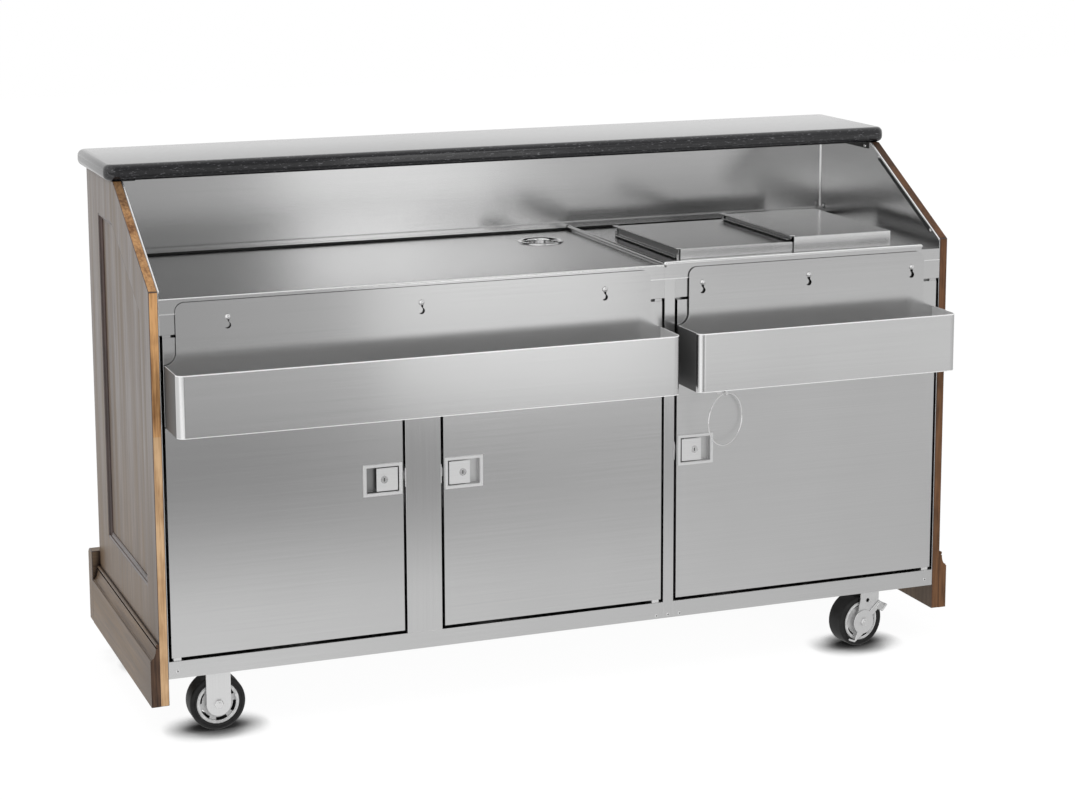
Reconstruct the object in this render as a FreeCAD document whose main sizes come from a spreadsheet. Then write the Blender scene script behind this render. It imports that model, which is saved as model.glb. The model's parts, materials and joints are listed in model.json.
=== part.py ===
# Mobile bar cart: every piece is a document object driven by the Sizes sheet.
# X runs along the cart, the bartender stands on the -Y side, Z is up from the floor.
# Depths in the sheet count back from the front edges of the side panels.
import FreeCAD
import Part
import Sketcher
import os
import re

doc = FreeCAD.newDocument("BarCart")
sheet = doc.addObject("Spreadsheet::Sheet", "Sizes")

# Sizes, millimetres
SIZES = [
    # Wooden body
    ("half_width", 980, "middle of the cart to the outer face of a side panel"),
    ("panel_thick", 20, "wood panel thickness"),
    ("panel_depth", 656, "front edge of a side panel to the customer face"),
    ("panel_bottom", 78, "underside of the wood panels above the floor"),
    ("kink_z", 1008, "height where the sloped front edge starts"),
    ("slope_in", 2, "slope's upper end behind the bar top's front edge"),
    ("top_under", 1204, "underside of the bar top"),
    ("recess_depth", 9, "depth of the sunk fields in the panels"),
    ("stile_front", 100, "side panel frame width at the front and the top"),
    ("stile_rear", 124, "side panel frame width at the customer edge"),
    ("recess_bottom", 328, "lower edge of the sunk fields"),
    ("recess_top", 1107, "upper edge of the sunk fields"),
    ("recess_kink", 950, "height where the field's slope starts"),
    ("recess_slope_in", 31, "upper end of the field's slope behind the panel's"),
    ("field_gap", 100, "frame width between the customer side fields"),
    # Base mouldings
    ("plinth_top", 186, "top of the square part of the side moulding"),
    ("plinth_thick", 20, "side moulding thickness"),
    ("cap_thick", 8, "moulding cap thickness"),
    ("cove_in", 4, "moulding cove inside the plinth's face"),
    ("cove_up", 5, "moulding cove above the plinth"),
    ("cap_low", 204, "foot of the moulding cap"),
    ("cap_top", 222, "top of the side moulding"),
    ("guest_thick", 44, "customer side moulding thickness"),
    ("guest_top", 258, "top of the customer moulding"),
    ("guest_chamfer", 10, "chamfer along the customer moulding's top edge"),
    # Bar top
    ("top_thick", 38, "bar top thickness"),
    ("top_over", 17, "bar top overhang at the ends"),
    ("top_guest", 38, "bar top past the customer face"),
    ("top_deep", 347, "bar top depth"),
    ("top_corner", 24, "bar top corner radius seen from above"),
    ("top_round", 14, "bar top edge radius"),
    # Stainless body
    ("liner_thick", 1.5, "side liner thickness"),
    ("sheet_thick", 1.5, "stainless sheet thickness"),
    ("back_in", 32, "front of the backsplash and cabinet back to the customer face"),
    ("work_z", 985, "worktop surface"),
    ("lip_bottom", 956.5, "lower edge of the worktop's front lip"),
    ("roll_radius", 3.5, "radius of the worktop's rolled front edge"),
    ("roll_lift", 2.5, "middle of the rolled edge above the worktop"),
    ("slot_tall", 9, "slot between the worktop and the backsplash hem"),
    ("hem_height", 9, "height of the backsplash hem"),
    ("hem_proud", 12, "backsplash hem in front of the backsplash"),
    ("deck_wide", 728.5, "ice deck from its seam to the right wall"),
    ("bead_radius", 5, "radius of the raised bead on the ice deck"),
    ("bead_lift", 7, "middle of the bead above the deck"),
    ("bead_end", 50, "right end of the bead to the side wall"),
    ("frame_deep", 20, "depth of the header, stile and post"),
    ("header_bottom", 912, "lower edge of the header"),
    ("base_bottom", 138.5, "lower edge of the base rail"),
    ("base_top", 178, "upper edge of the base rail"),
    ("flange_deep", 25, "depth of the base rail's flange"),
    ("stile_wide", 84, "width of the wide stile"),
    ("post_off", 14.5, "deck seam to the middle of the narrow post"),
    ("post_wide", 26, "width of the narrow post"),
    # Doors
    ("door_gap", 6.5, "gap at the sides of the doors"),
    ("door_foot", 8, "gap under the doors"),
    ("head_gap", 6, "gap between the header and the panels under it"),
    ("door_deep", 25, "door thickness"),
    ("swing_gap", 2, "door top to the underside of the speed rails"),
    ("split_gap", 3.5, "door top to the panel above it"),
    ("pivot_in", 13, "pivot axis from the hinge edge"),
    ("pivot_deep", 10, "pivot axis behind the door face"),
    ("pivot_radius", 4, "pivot pin radius"),
    ("run_gap", 0.05, "clearance round turning pins"),
    ("pivot_block", 9, "half width of a pivot block"),
    ("block_half", 8, "half depth of a pivot block"),
    ("pivot_reach", 8, "length of pin inside the door"),
    ("tab_wide", 18, "width of the tabs that carry the upper panels"),
    # Latches
    ("latch_z", 545, "height of the latches"),
    ("bezel_edge", 2, "bezel to the door's free edge"),
    ("bezel_wide", 92, "latch bezel width"),
    ("bezel_tall", 74, "latch bezel height"),
    ("bezel_thick", 2, "latch bezel thickness"),
    ("tray_in", 6, "bezel rim outside the tray"),
    ("tray_deep", 14, "latch tray depth"),
    ("tray_wall", 2, "latch tray wall"),
    ("fit_gap", 0.5, "clearance of a piece in its cut-out"),
    ("paddle_wide", 52, "paddle width"),
    ("paddle_thick", 4, "paddle thickness"),
    ("paddle_gap", 1, "clearance round the paddle"),
    ("barrel_radius", 4, "paddle hinge barrel radius"),
    ("hinge_pin", 2, "paddle hinge pin radius"),
    ("lock_radius", 9, "lock cylinder radius"),
    ("lock_proud", 2, "lock cylinder above the paddle"),
    ("lock_slot", 2, "key slot width"),
    ("lock_off", 2, "lock cylinder off the paddle's middle"),
    ("bolt_thick", 7, "bolt thickness"),
    ("bolt_half", 10, "half height of the bolt"),
    ("bolt_long", 55, "bolt length inside the door"),
    ("bolt_nose", 4, "bolt nose past the door's edge"),
    ("slide_gap", 0.3, "clearance round sliding pieces"),
    ("guide_wall", 2.5, "bolt guide wall"),
    ("guide_long", 36, "bolt guide length"),
    ("strike_thick", 1.5, "strike thickness"),
    ("strike_half", 22, "half height of a strike"),
    # Speed rails
    ("plate_off", 5, "speed rail back to the cabinet face"),
    ("rail_thick", 2, "speed rail sheet thickness"),
    ("rail_deep", 117, "speed rail depth"),
    ("rail_floor", 708, "underside of the speed rails"),
    ("rail_top", 846, "rim of the speed rails"),
    ("plate_top", 982, "top of the speed rails' back plates"),
    ("plate_in", 27, "back plate inside the trough ends"),
    ("plate_round", 20, "back plate corner radius"),
    ("rail_round", 18, "trough corner radius"),
    ("long_in", 7.5, "left wall to the long speed rail"),
    ("long_off", 11.5, "long speed rail to the post"),
    ("short_off", 6.5, "post to the short speed rail"),
    ("short_in", 18.5, "short speed rail to the right wall"),
    ("stud_z", 945, "height of the hanging studs"),
    ("stud_long_in", 142, "end of the long rail to its outer studs"),
    ("stud_short_in", 61, "end of the short rail to its outer studs"),
    ("stud_radius", 3.2, "stud shank radius"),
    ("stud_head", 6.5, "stud head radius"),
    ("stud_cap", 3, "stud head thickness"),
    ("slot_radius", 3.6, "half width of a keyhole slot"),
    ("hole_radius", 7.5, "radius of a keyhole"),
    ("key_drop", 19, "keyhole below its slot"),
    # Ice bin and lids
    ("bin_start", 73, "deck seam to the ice bin opening"),
    ("bin_end", 101.5, "ice bin opening to the right wall"),
    ("bin_front", 93, "ice bin opening, front"),
    ("bin_rear", 157, "ice bin opening to the backsplash"),
    ("bin_deep", 255, "ice bin depth"),
    ("bin_wall", 3, "ice bin wall"),
    ("bin_flange", 20, "ice bin flange under the deck"),
    ("spout_radius", 16, "ice bin spout radius"),
    ("spout_bore", 13, "ice bin spout bore"),
    ("spout_long", 45, "ice bin spout length"),
    ("rim_height", 14, "raised rim round the ice bin opening"),
    ("lid_sheet", 2, "lid sheet thickness"),
    ("low_top", 1010, "lower lid surface"),
    ("high_top", 1022, "upper lid surface"),
    ("low_start", 5, "lower lid's left edge past the bin opening"),
    ("low_long", 322, "lower lid length"),
    ("high_end", 11, "upper lid's right edge past the bin opening"),
    ("high_long", 274, "upper lid length"),
    ("low_over", 7, "lower lid past the bin opening, front and back"),
    ("high_over", 13, "upper lid past the bin opening, front and back"),
    ("lid_pass", 1, "clearance of the upper lid's end lip and pull over the lower lid"),
    ("pull_wide", 12, "finger pull width"),
    ("low_up", 2, "finger pull above the lower lid"),
    ("high_up", 4, "finger pull above the upper lid"),
    ("low_pull", 24, "height of the lower lid's finger pull"),
    ("pull_gap", 4, "finger pulls inside the bin opening, front and back"),
    # Drain
    ("drain_in", 129, "drain to the deck seam"),
    ("drain_rear", 162, "drain to the backsplash"),
    ("drain_flange", 57, "drain flange radius"),
    ("drain_lift", 3, "drain flange thickness"),
    ("drain_radius", 46, "drain cup radius"),
    ("drain_wall", 2.5, "drain cup wall"),
    ("drain_deep", 58, "drain cup depth"),
    ("outlet_radius", 20, "drain outlet radius"),
    ("outlet_long", 60, "drain outlet length"),
    ("strain_gap", 2, "clearance round the strainer"),
    ("strain_thick", 3, "strainer thickness"),
    ("strain_hole", 4, "strainer hole radius"),
    ("strain_ring", 27, "strainer hole circle radius"),
    ("knob_radius", 6, "strainer knob radius"),
    ("knob_tall", 22, "strainer knob height"),
    # Casters
    ("wheel_radius", 63.5, "wheel radius"),
    ("tread_half", 26, "half width of the tyre"),
    ("tyre_inner", 48.5, "tyre inner radius"),
    ("tyre_chamfer", 5, "tyre shoulder"),
    ("core_half", 24, "half width of the wheel core's rim"),
    ("hub_half", 27, "half width of the hub"),
    ("hub_radius", 13, "hub radius"),
    ("rim_inner", 41, "inner radius of the core's rim"),
    ("web_half", 18, "half thickness of the core's web"),
    ("vent_inner", 36, "inner radius of the curved slots in the core"),
    ("vent_sweep", 36, "sweep of a curved slot, degrees"),
    ("axle_radius", 5, "axle radius"),
    ("axle_head", 9, "axle head radius"),
    ("axle_cap", 5, "axle head thickness"),
    ("leg_gap", 2, "hub to fork leg"),
    ("leg_thick", 4, "fork leg thickness"),
    ("leg_half", 28, "half width of a rigid fork leg"),
    ("leg_foot", 18, "radius of a swivel fork leg's foot"),
    ("leg_hole", 5, "radius of the hole in a swivel fork leg"),
    ("leg_hole_down", 24, "hole in a swivel fork leg below the crown"),
    ("leg_hole_back", 8, "hole in a swivel fork leg behind the swivel axis"),
    ("leg_knee", 45, "bend in a swivel fork leg above the axle"),
    ("mount_z", 157, "top of the caster plates"),
    ("mount_half", 52, "half length of a caster plate"),
    ("mount_side", 36, "half width of a caster plate"),
    ("mount_thick", 4, "caster plate thickness"),
    ("rigid_in", 134, "rigid casters from the left panel's outer face"),
    ("swivel_in", 190, "swivel casters from the right panel's outer face"),
    ("caster_front", 45, "front casters from the front"),
    ("caster_rear", 99, "rear casters from the backsplash"),
    ("trail", 22, "swivel axis to the wheel axle"),
    ("swivel_turn", 10, "turn of the swivel casters from straight, degrees"),
    ("race_radius", 30, "swivel race radius"),
    ("race_gap", 0.4, "clearance under the swivel race"),
    ("race_tall", 8, "swivel race height"),
    ("king_radius", 6, "king pin radius"),
    ("crown_thick", 5, "swivel fork crown thickness"),
    ("crown_half", 26, "half length of the swivel fork's crown"),
    ("brake_thick", 3, "brake plate thickness"),
    ("brake_eye", 30, "brake plate radius"),
    ("brake_gap", 0.4, "brake plate to the fork"),
    ("pedal_out", 53, "pedal's end ahead of the axle"),
    ("pedal_up", 43, "pedal's end above the axle"),
    ("pedal_wide", 23, "pedal width"),
    ("pedal_run", 15, "pedal length along the cart"),
    ("heel_back", 27, "release tab's heel behind the axle"),
    ("heel_down", 48, "release tab's heel below the axle"),
    ("toe_back", 44, "release tab's toe behind the axle"),
    ("toe_down", 41, "release tab's toe below the axle"),
    ("tab_tall", 5, "height of the release tab's toe"),
    ("arm_half", 5, "half width of the brake arm along the cart"),
    # Base carriers
    ("carry_half", 55, "half width of a caster carrier"),
    ("carry_thick", 3, "caster carrier thickness"),
    # Towel ring
    ("ring_in", 115.5, "post to the towel ring"),
    ("ring_radius", 62, "towel ring radius"),
    ("ring_wire", 1.6, "towel ring wire radius"),
    ("ring_turn", 25.5, "turn of the ring from the door face, degrees"),
    ("eye_out", 36, "eye in front of the door"),
    ("eye_z", 683, "height of the eye"),
    ("eye_radius", 7, "eye outer radius"),
    ("eye_bore", 4, "eye hole radius"),
    ("eye_thick", 4, "eye thickness"),
    ("eye_foot", 10, "radius of the eye's foot"),
    ("hang_gap", 0.4, "ring wire above the bottom of the eye's hole"),
    # Modelling
    ("past", 1, "how far a cutting shape runs past the face it opens"),
]
for row, (name, value, note) in enumerate(SIZES, start=1):
    sheet.set("A%d" % row, note)
    sheet.set("B%d" % row, str(value))
    sheet.setAlias("B%d" % row, name)
doc.recompute()

# Helpers that turn size names into bound shapes
MID = "(panel_depth + guest_thick - plate_off - rail_deep) / 2"
TOP_BACK = "panel_depth + top_guest"
TOP_FRONT = "%s - top_deep" % TOP_BACK
SLOPE_Y = "%s + slope_in" % TOP_FRONT
BACK_Y = "panel_depth - back_in"
WALL = "half_width - panel_thick - liner_thick"
LEFT_WALL = "-(%s)" % WALL
SPLIT = "%s - deck_wide" % WALL
POST_X = "%s + post_off" % SPLIT
POST_LOW = "%s - post_wide / 2" % POST_X
POST_HIGH = "%s + post_wide / 2" % POST_X
STILE_X = "(%s + %s) / 2" % (LEFT_WALL, POST_LOW)
STILE_LOW = "%s - stile_wide / 2" % STILE_X
STILE_HIGH = "%s + stile_wide / 2" % STILE_X
BIN_LEFT = "%s + bin_start" % SPLIT
BIN_RIGHT = "%s - bin_end" % WALL
BIN_BACK = "%s - bin_rear" % BACK_Y
DRAIN = ("%s - drain_in" % SPLIT, "%s - drain_rear" % BACK_Y)
RIGID_X = "rigid_in - half_width"
SWIVEL_X = "half_width - swivel_in"
FRONT = "caster_front"
REAR = "%s - caster_rear" % BACK_Y


def bound(text):
    return re.sub(r"[a-z][a-z_]*", lambda m: "Sizes." + m.group(0), text)


def bind(thing, prop, text):
    thing.setExpression(prop, bound(text))


def place(thing, x, y, z):
    bind(thing, "Placement.Base.x", x)
    bind(thing, "Placement.Base.y", "(%s) - %s" % (y, MID))
    bind(thing, "Placement.Base.z", z)


def box(x, y, z):
    thing = doc.addObject("Part::Box", "Box")
    for prop, (low, high) in (("Length", x), ("Width", y), ("Height", z)):
        bind(thing, prop, "(%s) - (%s)" % (high, low))
    place(thing, x[0], y[0], z[0])
    return thing


TURN = {
    "x": FreeCAD.Rotation(FreeCAD.Vector(0, 1, 0), 90),
    "y": FreeCAD.Rotation(FreeCAD.Vector(1, 0, 0), -90),
    "z": FreeCAD.Rotation(),
}


def rod(radius, length, start, axis):
    thing = doc.addObject("Part::Cylinder", "Rod")
    thing.Placement = FreeCAD.Placement(FreeCAD.Vector(), TURN[axis])
    bind(thing, "Radius", radius)
    bind(thing, "Height", length)
    place(thing, *start)
    return thing


def join(*things):
    whole = doc.addObject("Part::MultiFuse", "Join")
    whole.Shapes = list(things)
    whole.Refine = True
    return whole


def cut(base, *tools):
    whole = doc.addObject("Part::Cut", "Cut")
    whole.Base = base
    whole.Tool = tools[0] if len(tools) == 1 else join(*tools)
    whole.Refine = True
    return whole


def mirror(source):
    whole = doc.addObject("Part::Mirroring", "Mirror")
    whole.Source = source
    whole.Normal = FreeCAD.Vector(1, 0, 0)
    return whole


def group(*things):
    whole = doc.addObject("Part::Compound", "Group")
    whole.Links = list(things)
    return whole


PLANES = {"xy": "XY_Plane", "xz": "XZ_Plane", "yz": "YZ_Plane"}


def outline(body, plane, points):
    sketch = body.newObject("Sketcher::SketchObject", "Outline")
    flat = next(f for f in body.Origin.OriginFeatures if f.Role == PLANES[plane])
    sketch.AttachmentSupport = [(flat, "")]
    sketch.MapMode = "FlatFace"
    count = len(points)
    ring = [FreeCAD.Vector(count, 0, 0)]
    turn = FreeCAD.Rotation(FreeCAD.Vector(0, 0, 1), 360.0 / count)
    for _ in points[1:]:
        ring.append(turn.multVec(ring[-1]))
    for n in range(count):
        sketch.addGeometry(Part.LineSegment(ring[n], ring[(n + 1) % count]))
    for n in range(count):
        sketch.addConstraint(Sketcher.Constraint("Coincident", n, 2, (n + 1) % count, 1))
    for n, (across, up) in enumerate(points):
        for kind, text in (("DistanceX", across), ("DistanceY", up)):
            k = sketch.addConstraint(Sketcher.Constraint(kind, -1, 1, n, 1, 1.0))
            sketch.setExpression("Constraints[%d]" % k, bound(text))
    return sketch


def prism(plane, points, length, start):
    body = doc.addObject("PartDesign::Body", "Prism")
    sketch = outline(body, plane, points)
    pad = body.newObject("PartDesign::Pad", "Pad")
    pad.Profile = sketch
    bind(pad, "Length", length)
    body.Tip = pad
    place(body, *start)
    return body


def spin(plane, points, start):
    body = doc.addObject("PartDesign::Body", "Spin")
    sketch = outline(body, plane, points)
    turned = body.newObject("PartDesign::Revolution", "Revolution")
    turned.Profile = sketch
    turned.ReferenceAxis = (sketch, ["V_Axis"])
    turned.Angle = 360
    body.Tip = turned
    place(body, *start)
    return body


NODES = []


def node(label, thing):
    thing.Label = label
    NODES.append(thing)
    return thing


# Wooden side panels with a sunk field that follows the sloped front
SIDE = [("0", "panel_bottom"), ("panel_depth", "panel_bottom"), ("panel_depth", "top_under"),
        (SLOPE_Y, "top_under"), ("0", "kink_z")]
FIELD_BACK = "panel_depth - stile_rear"
FIELD = [("stile_front", "recess_bottom"), (FIELD_BACK, "recess_bottom"), (FIELD_BACK, "recess_top"),
         ("%s + recess_slope_in" % SLOPE_Y, "recess_top"), ("stile_front", "recess_kink")]
board = prism("yz", SIDE, "panel_thick", ("-half_width", "0", "0"))
field = prism("yz", FIELD, "recess_depth + past", ("-half_width - past", "0", "0"))
left_panel = node("left_side_panel", cut(board, field))
node("right_side_panel", mirror(left_panel))

# Customer panel between the side panels, with three sunk fields
INNER = "half_width - panel_thick"
guest = box(("-(%s)" % INNER, INNER), ("panel_depth - panel_thick", "panel_depth"),
            ("panel_bottom", "top_under"))
FIELD_WIDE = "(2 * half_width - 4 * field_gap) / 3"
fields = []
for n in range(3):
    low = "-half_width + field_gap + %d * (%s + field_gap)" % (n, FIELD_WIDE)
    fields.append(box((low, "%s + %s" % (low, FIELD_WIDE)),
                      ("panel_depth - recess_depth", "panel_depth + past"), ("recess_bottom", "recess_top")))
node("customer_panel", cut(guest, *fields))

# Base mouldings: a square plinth with a stepped cap
SIDE_STEPS = [("0", "panel_bottom"), ("0", "cap_top"), ("-cap_thick / 2", "cap_top"),
              ("-cap_thick", "cap_low"), ("cove_in - plinth_thick", "plinth_top + cove_up"),
              ("-plinth_thick", "plinth_top"), ("-plinth_thick", "panel_bottom")]
moulding = prism("xz", SIDE_STEPS, "panel_depth", ("-half_width", "panel_depth", "0"))
left_moulding = node("left_base_moulding", moulding)
node("right_base_moulding", mirror(left_moulding))
GUEST_STEPS = [("0", "panel_bottom"), ("guest_thick", "panel_bottom"),
               ("guest_thick", "guest_top - guest_chamfer"), ("guest_thick - guest_chamfer", "guest_top"),
               ("0", "guest_top")]
guest_base = prism("yz", GUEST_STEPS, "2 * (half_width + plinth_thick)",
                   ("-half_width - plinth_thick", "panel_depth", "0"))
node("customer_base_moulding", guest_base)

# Side liners: stainless sheets against the wood that are also the cabinet's side walls
LINER_BACK = "panel_depth - panel_thick"
LINER = [("0", "base_bottom"), (LINER_BACK, "base_bottom"), (LINER_BACK, "top_under"),
         (SLOPE_Y, "top_under"), ("0", "kink_z")]
left_liner = node("left_liner", prism("yz", LINER, "liner_thick", ("-half_width + panel_thick", "0", "0")))
node("right_liner", mirror(left_liner))

# Bar top: one slab with rounded corners and edges
slab = doc.addObject("PartDesign::Body", "Slab")
slab_plan = outline(slab, "xy", [("-half_width - top_over", TOP_FRONT), ("half_width + top_over", TOP_FRONT),
                                 ("half_width + top_over", TOP_BACK), ("-half_width - top_over", TOP_BACK)])
slab_pad = slab.newObject("PartDesign::Pad", "Pad")
slab_pad.Profile = slab_plan
bind(slab_pad, "Length", "top_thick")
slab.Tip = slab_pad
doc.recompute()


def edges(shape, wanted):
    return ["Edge%d" % n for n, edge in enumerate(shape.Edges, start=1) if wanted(edge)]


upright = edges(slab_pad.Shape, lambda e: abs(e.tangentAt(e.FirstParameter).z) > 0.9)
corners = slab.newObject("PartDesign::Fillet", "Corners")
corners.Base = (slab_pad, upright)
bind(corners, "Radius", "top_corner")
slab.Tip = corners
doc.recompute()
rims = edges(corners.Shape, lambda e: abs(e.BoundBox.ZLength) < 0.01)
rounded = slab.newObject("PartDesign::Fillet", "Rounded")
rounded.Base = (corners, rims)
bind(rounded, "Radius", "top_round")
slab.Tip = rounded
place(slab, "0", "0", "top_under")
node("bar_top", slab)

# Backsplash and cabinet back, one above the worktop and one below it
WORK_UNDER = "work_z - sheet_thick"
SPLASH = (BACK_Y, "%s + sheet_thick" % BACK_Y)
sheet_up = box((LEFT_WALL, WALL), SPLASH, (WORK_UNDER, "top_under"))
hem = box((LEFT_WALL, WALL), ("%s - hem_proud" % BACK_Y, BACK_Y),
          ("work_z + slot_tall", "work_z + slot_tall + hem_height"))
node("backsplash", join(sheet_up, hem))
node("cabinet_back", box((LEFT_WALL, WALL), SPLASH, ("base_bottom", WORK_UNDER)))

# Worktop: a folded sheet with a rolled front edge, a front lip and the drain's hole
LIP = ("-sheet_thick", "0")
top_sheet = box((LEFT_WALL, SPLIT), ("-sheet_thick", BACK_Y), (WORK_UNDER, "work_z"))
front_lip = box((LEFT_WALL, SPLIT), LIP, ("lip_bottom", "work_z + roll_lift"))
front_roll = rod("roll_radius", "%s + %s" % (SPLIT, WALL),
                 (LEFT_WALL, "roll_radius - sheet_thick", "work_z + roll_lift"), "x")
drain_hole = rod("drain_radius + fit_gap", "sheet_thick + 2 * past", DRAIN + ("%s - past" % WORK_UNDER,), "z")
node("worktop", cut(join(top_sheet, front_lip, front_roll), drain_hole))

# Ice deck: the right part of the worktop with a raised bead and a rim on three sides of the bin
deck_sheet = box((SPLIT, WALL), ("-sheet_thick", BACK_Y), (WORK_UNDER, "work_z"))
deck_lip = box((SPLIT, WALL), LIP, ("lip_bottom", "work_z"))
BEAD_X = "%s + bead_radius" % SPLIT
BEAD_Y = "bead_radius - sheet_thick"
BEAD_Z = "work_z + bead_lift"
BEAD_END = "%s - bead_end" % WALL
BEAD_BACK = "%s - hem_proud - bead_radius" % BACK_Y


def ball(radius, middle):
    thing = doc.addObject("Part::Sphere", "Ball")
    bind(thing, "Radius", radius)
    place(thing, *middle)
    return thing


bead = [
    rod("bead_radius", "%s - (%s)" % (BEAD_END, BEAD_X), (BEAD_X, BEAD_Y, BEAD_Z), "x"),
    rod("bead_radius", "%s - (%s)" % (BEAD_BACK, BEAD_Y), (BEAD_X, BEAD_Y, BEAD_Z), "y"),
    ball("bead_radius", (BEAD_X, BEAD_Y, BEAD_Z)),
    ball("bead_radius", (BEAD_END, BEAD_Y, BEAD_Z)),
    box((BEAD_X, BEAD_END), LIP, (WORK_UNDER, BEAD_Z)),
    box(("%s - sheet_thick / 2" % BEAD_X, "%s + sheet_thick / 2" % BEAD_X), (BEAD_Y, BEAD_BACK),
        (WORK_UNDER, BEAD_Z)),
]
RIM_Z = (WORK_UNDER, "work_z + rim_height")
BIN_Y = ("bin_front", BIN_BACK)
rim = box((BIN_LEFT, "%s + sheet_thick" % BIN_RIGHT),
          ("bin_front - sheet_thick", "%s + sheet_thick" % BIN_BACK), RIM_Z)
mouth = box(("%s - past" % BIN_LEFT, BIN_RIGHT), BIN_Y, (WORK_UNDER, "work_z + rim_height + past"))
opening = box((BIN_LEFT, BIN_RIGHT), BIN_Y, ("lip_bottom", "work_z + rim_height"))
deck = cut(join(deck_sheet, deck_lip, *bead), opening)
node("ice_deck", join(deck, cut(rim, mouth)))

# Ice bin: an open tub hung under the deck, with a drain spout
BIN_FLOOR = "%s - bin_deep" % WORK_UNDER
tub = box(("%s - bin_wall" % BIN_LEFT, "%s + bin_wall" % BIN_RIGHT),
          ("bin_front - bin_wall", "%s + bin_wall" % BIN_BACK), (BIN_FLOOR, WORK_UNDER))
collar = box(("%s - bin_flange" % BIN_LEFT, "%s + bin_flange" % BIN_RIGHT),
             ("bin_front - bin_flange", "%s + bin_flange" % BIN_BACK),
             ("%s - bin_wall" % WORK_UNDER, WORK_UNDER))
hollow = box((BIN_LEFT, BIN_RIGHT), BIN_Y, ("%s + bin_wall" % BIN_FLOOR, "work_z"))
BIN_MID = ("(%s + %s) / 2" % (BIN_LEFT, BIN_RIGHT), "(bin_front + %s) / 2" % BIN_BACK)
spout = rod("spout_radius", "spout_long", BIN_MID + ("%s - spout_long" % BIN_FLOOR,), "z")
bore = rod("spout_bore", "spout_long + bin_wall + 2 * past",
           BIN_MID + ("%s - spout_long - past" % BIN_FLOOR,), "z")
node("ice_bin", cut(join(tub, collar, spout), hollow, bore))


# Ice bin lids: shallow pans that overlap, each with a C-shaped finger pull on its left edge
def lid(left, right, over, top, pull_low, pull_top):
    front = "bin_front - %s" % over
    back = "%s + %s" % (BIN_BACK, over)
    web = "%s + pull_wide" % left
    sheet_z = ("%s - lid_sheet" % top, top)
    pull_y = ("bin_front + pull_gap", "%s - pull_gap" % BIN_BACK)
    return [
        box((web, right), (front, back), sheet_z),
        box((web, right), (front, "%s + lid_sheet" % front), ("work_z", top)),
        box((web, right), ("%s - lid_sheet" % back, back), ("work_z", top)),
        box((web, "%s + lid_sheet" % web), (front, back), (sheet_z[0], pull_top)),
        box((web, "%s + lid_sheet" % web), pull_y, (pull_low, pull_top)),
        box((left, web), (front, back), ("%s - lid_sheet" % pull_top, pull_top)),
        box((left, web), pull_y, (pull_low, "%s + lid_sheet" % pull_low)),
    ]


LOW_LEFT = "%s - low_start" % BIN_LEFT
HIGH_RIGHT = "%s + high_end" % BIN_RIGHT
HIGH_LEFT = "%s - high_long" % HIGH_RIGHT
end_lip = box(("%s - lid_sheet" % HIGH_RIGHT, HIGH_RIGHT),
              ("bin_front - high_over", "%s + high_over" % BIN_BACK), ("low_top + lid_pass", "high_top"))
low_lid = lid(LOW_LEFT, "%s + low_long" % LOW_LEFT, "low_over", "low_top",
              "low_top + low_up - low_pull", "low_top + low_up")
high_lid = lid(HIGH_LEFT, HIGH_RIGHT, "high_over", "high_top",
               "low_top + low_up + lid_pass", "high_top + high_up")
node("lower_lid", join(*low_lid))
node("upper_lid", join(*high_lid, end_lip))

# Drain: a flanged cup in the worktop and a lift-out strainer
CUP = [("drain_radius - drain_wall", "drain_lift"), ("drain_flange", "drain_lift"), ("drain_flange", "0"),
       ("drain_radius", "0"), ("drain_radius", "-drain_deep"), ("outlet_radius", "-drain_deep"),
       ("outlet_radius", "-drain_deep - outlet_long"),
       ("outlet_radius - drain_wall", "-drain_deep - outlet_long"),
       ("outlet_radius - drain_wall", "drain_wall - drain_deep"),
       ("drain_radius - drain_wall", "drain_wall - drain_deep")]
node("drain_cup", spin("xz", CUP, DRAIN + ("work_z",)))
STRAIN_Z = "work_z - drain_deep + drain_wall"
strain = rod("drain_radius - drain_wall - strain_gap", "strain_thick", DRAIN + (STRAIN_Z,), "z")
knob = rod("knob_radius", "knob_tall", DRAIN + (STRAIN_Z,), "z")
HOLES = 8
holes = []
for n in range(HOLES):
    hole = doc.addObject("Part::Cylinder", "Hole")
    bind(hole, "Radius", "strain_hole")
    bind(hole, "Height", "strain_thick + 2 * past")
    angle = "%d * 360deg / %d" % (n, HOLES)
    across, along = bound(DRAIN[0]), bound("%s - %s" % (DRAIN[1], MID))
    hole.setExpression("Placement.Base.x", "%s + Sizes.strain_ring * cos(%s)" % (across, angle))
    hole.setExpression("Placement.Base.y", "%s + Sizes.strain_ring * sin(%s)" % (along, angle))
    bind(hole, "Placement.Base.z", "%s - past" % STRAIN_Z)
    holes.append(hole)
node("drain_strainer", cut(join(strain, knob), *holes))

# Cabinet floor and divider
FLOOR = ("base_top - sheet_thick", "base_top")
node("cabinet_floor", box((LEFT_WALL, WALL), ("sheet_thick", BACK_Y), FLOOR))
FACE = ("0", "frame_deep")
node("divider", box(("%s - sheet_thick / 2" % POST_X, "%s + sheet_thick / 2" % POST_X),
                    ("sheet_thick", BACK_Y), ("base_top", WORK_UNDER)))


# Header, stile and post: folded channels, open at the back
def channel(low, high):
    low_in = "%s + sheet_thick" % low
    high_in = "%s - sheet_thick" % high
    return [(low, "0"), (high, "0"), (high, "frame_deep"), (high_in, "frame_deep"), (high_in, "sheet_thick"),
            (low_in, "sheet_thick"), (low_in, "frame_deep"), (low, "frame_deep")]


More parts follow.
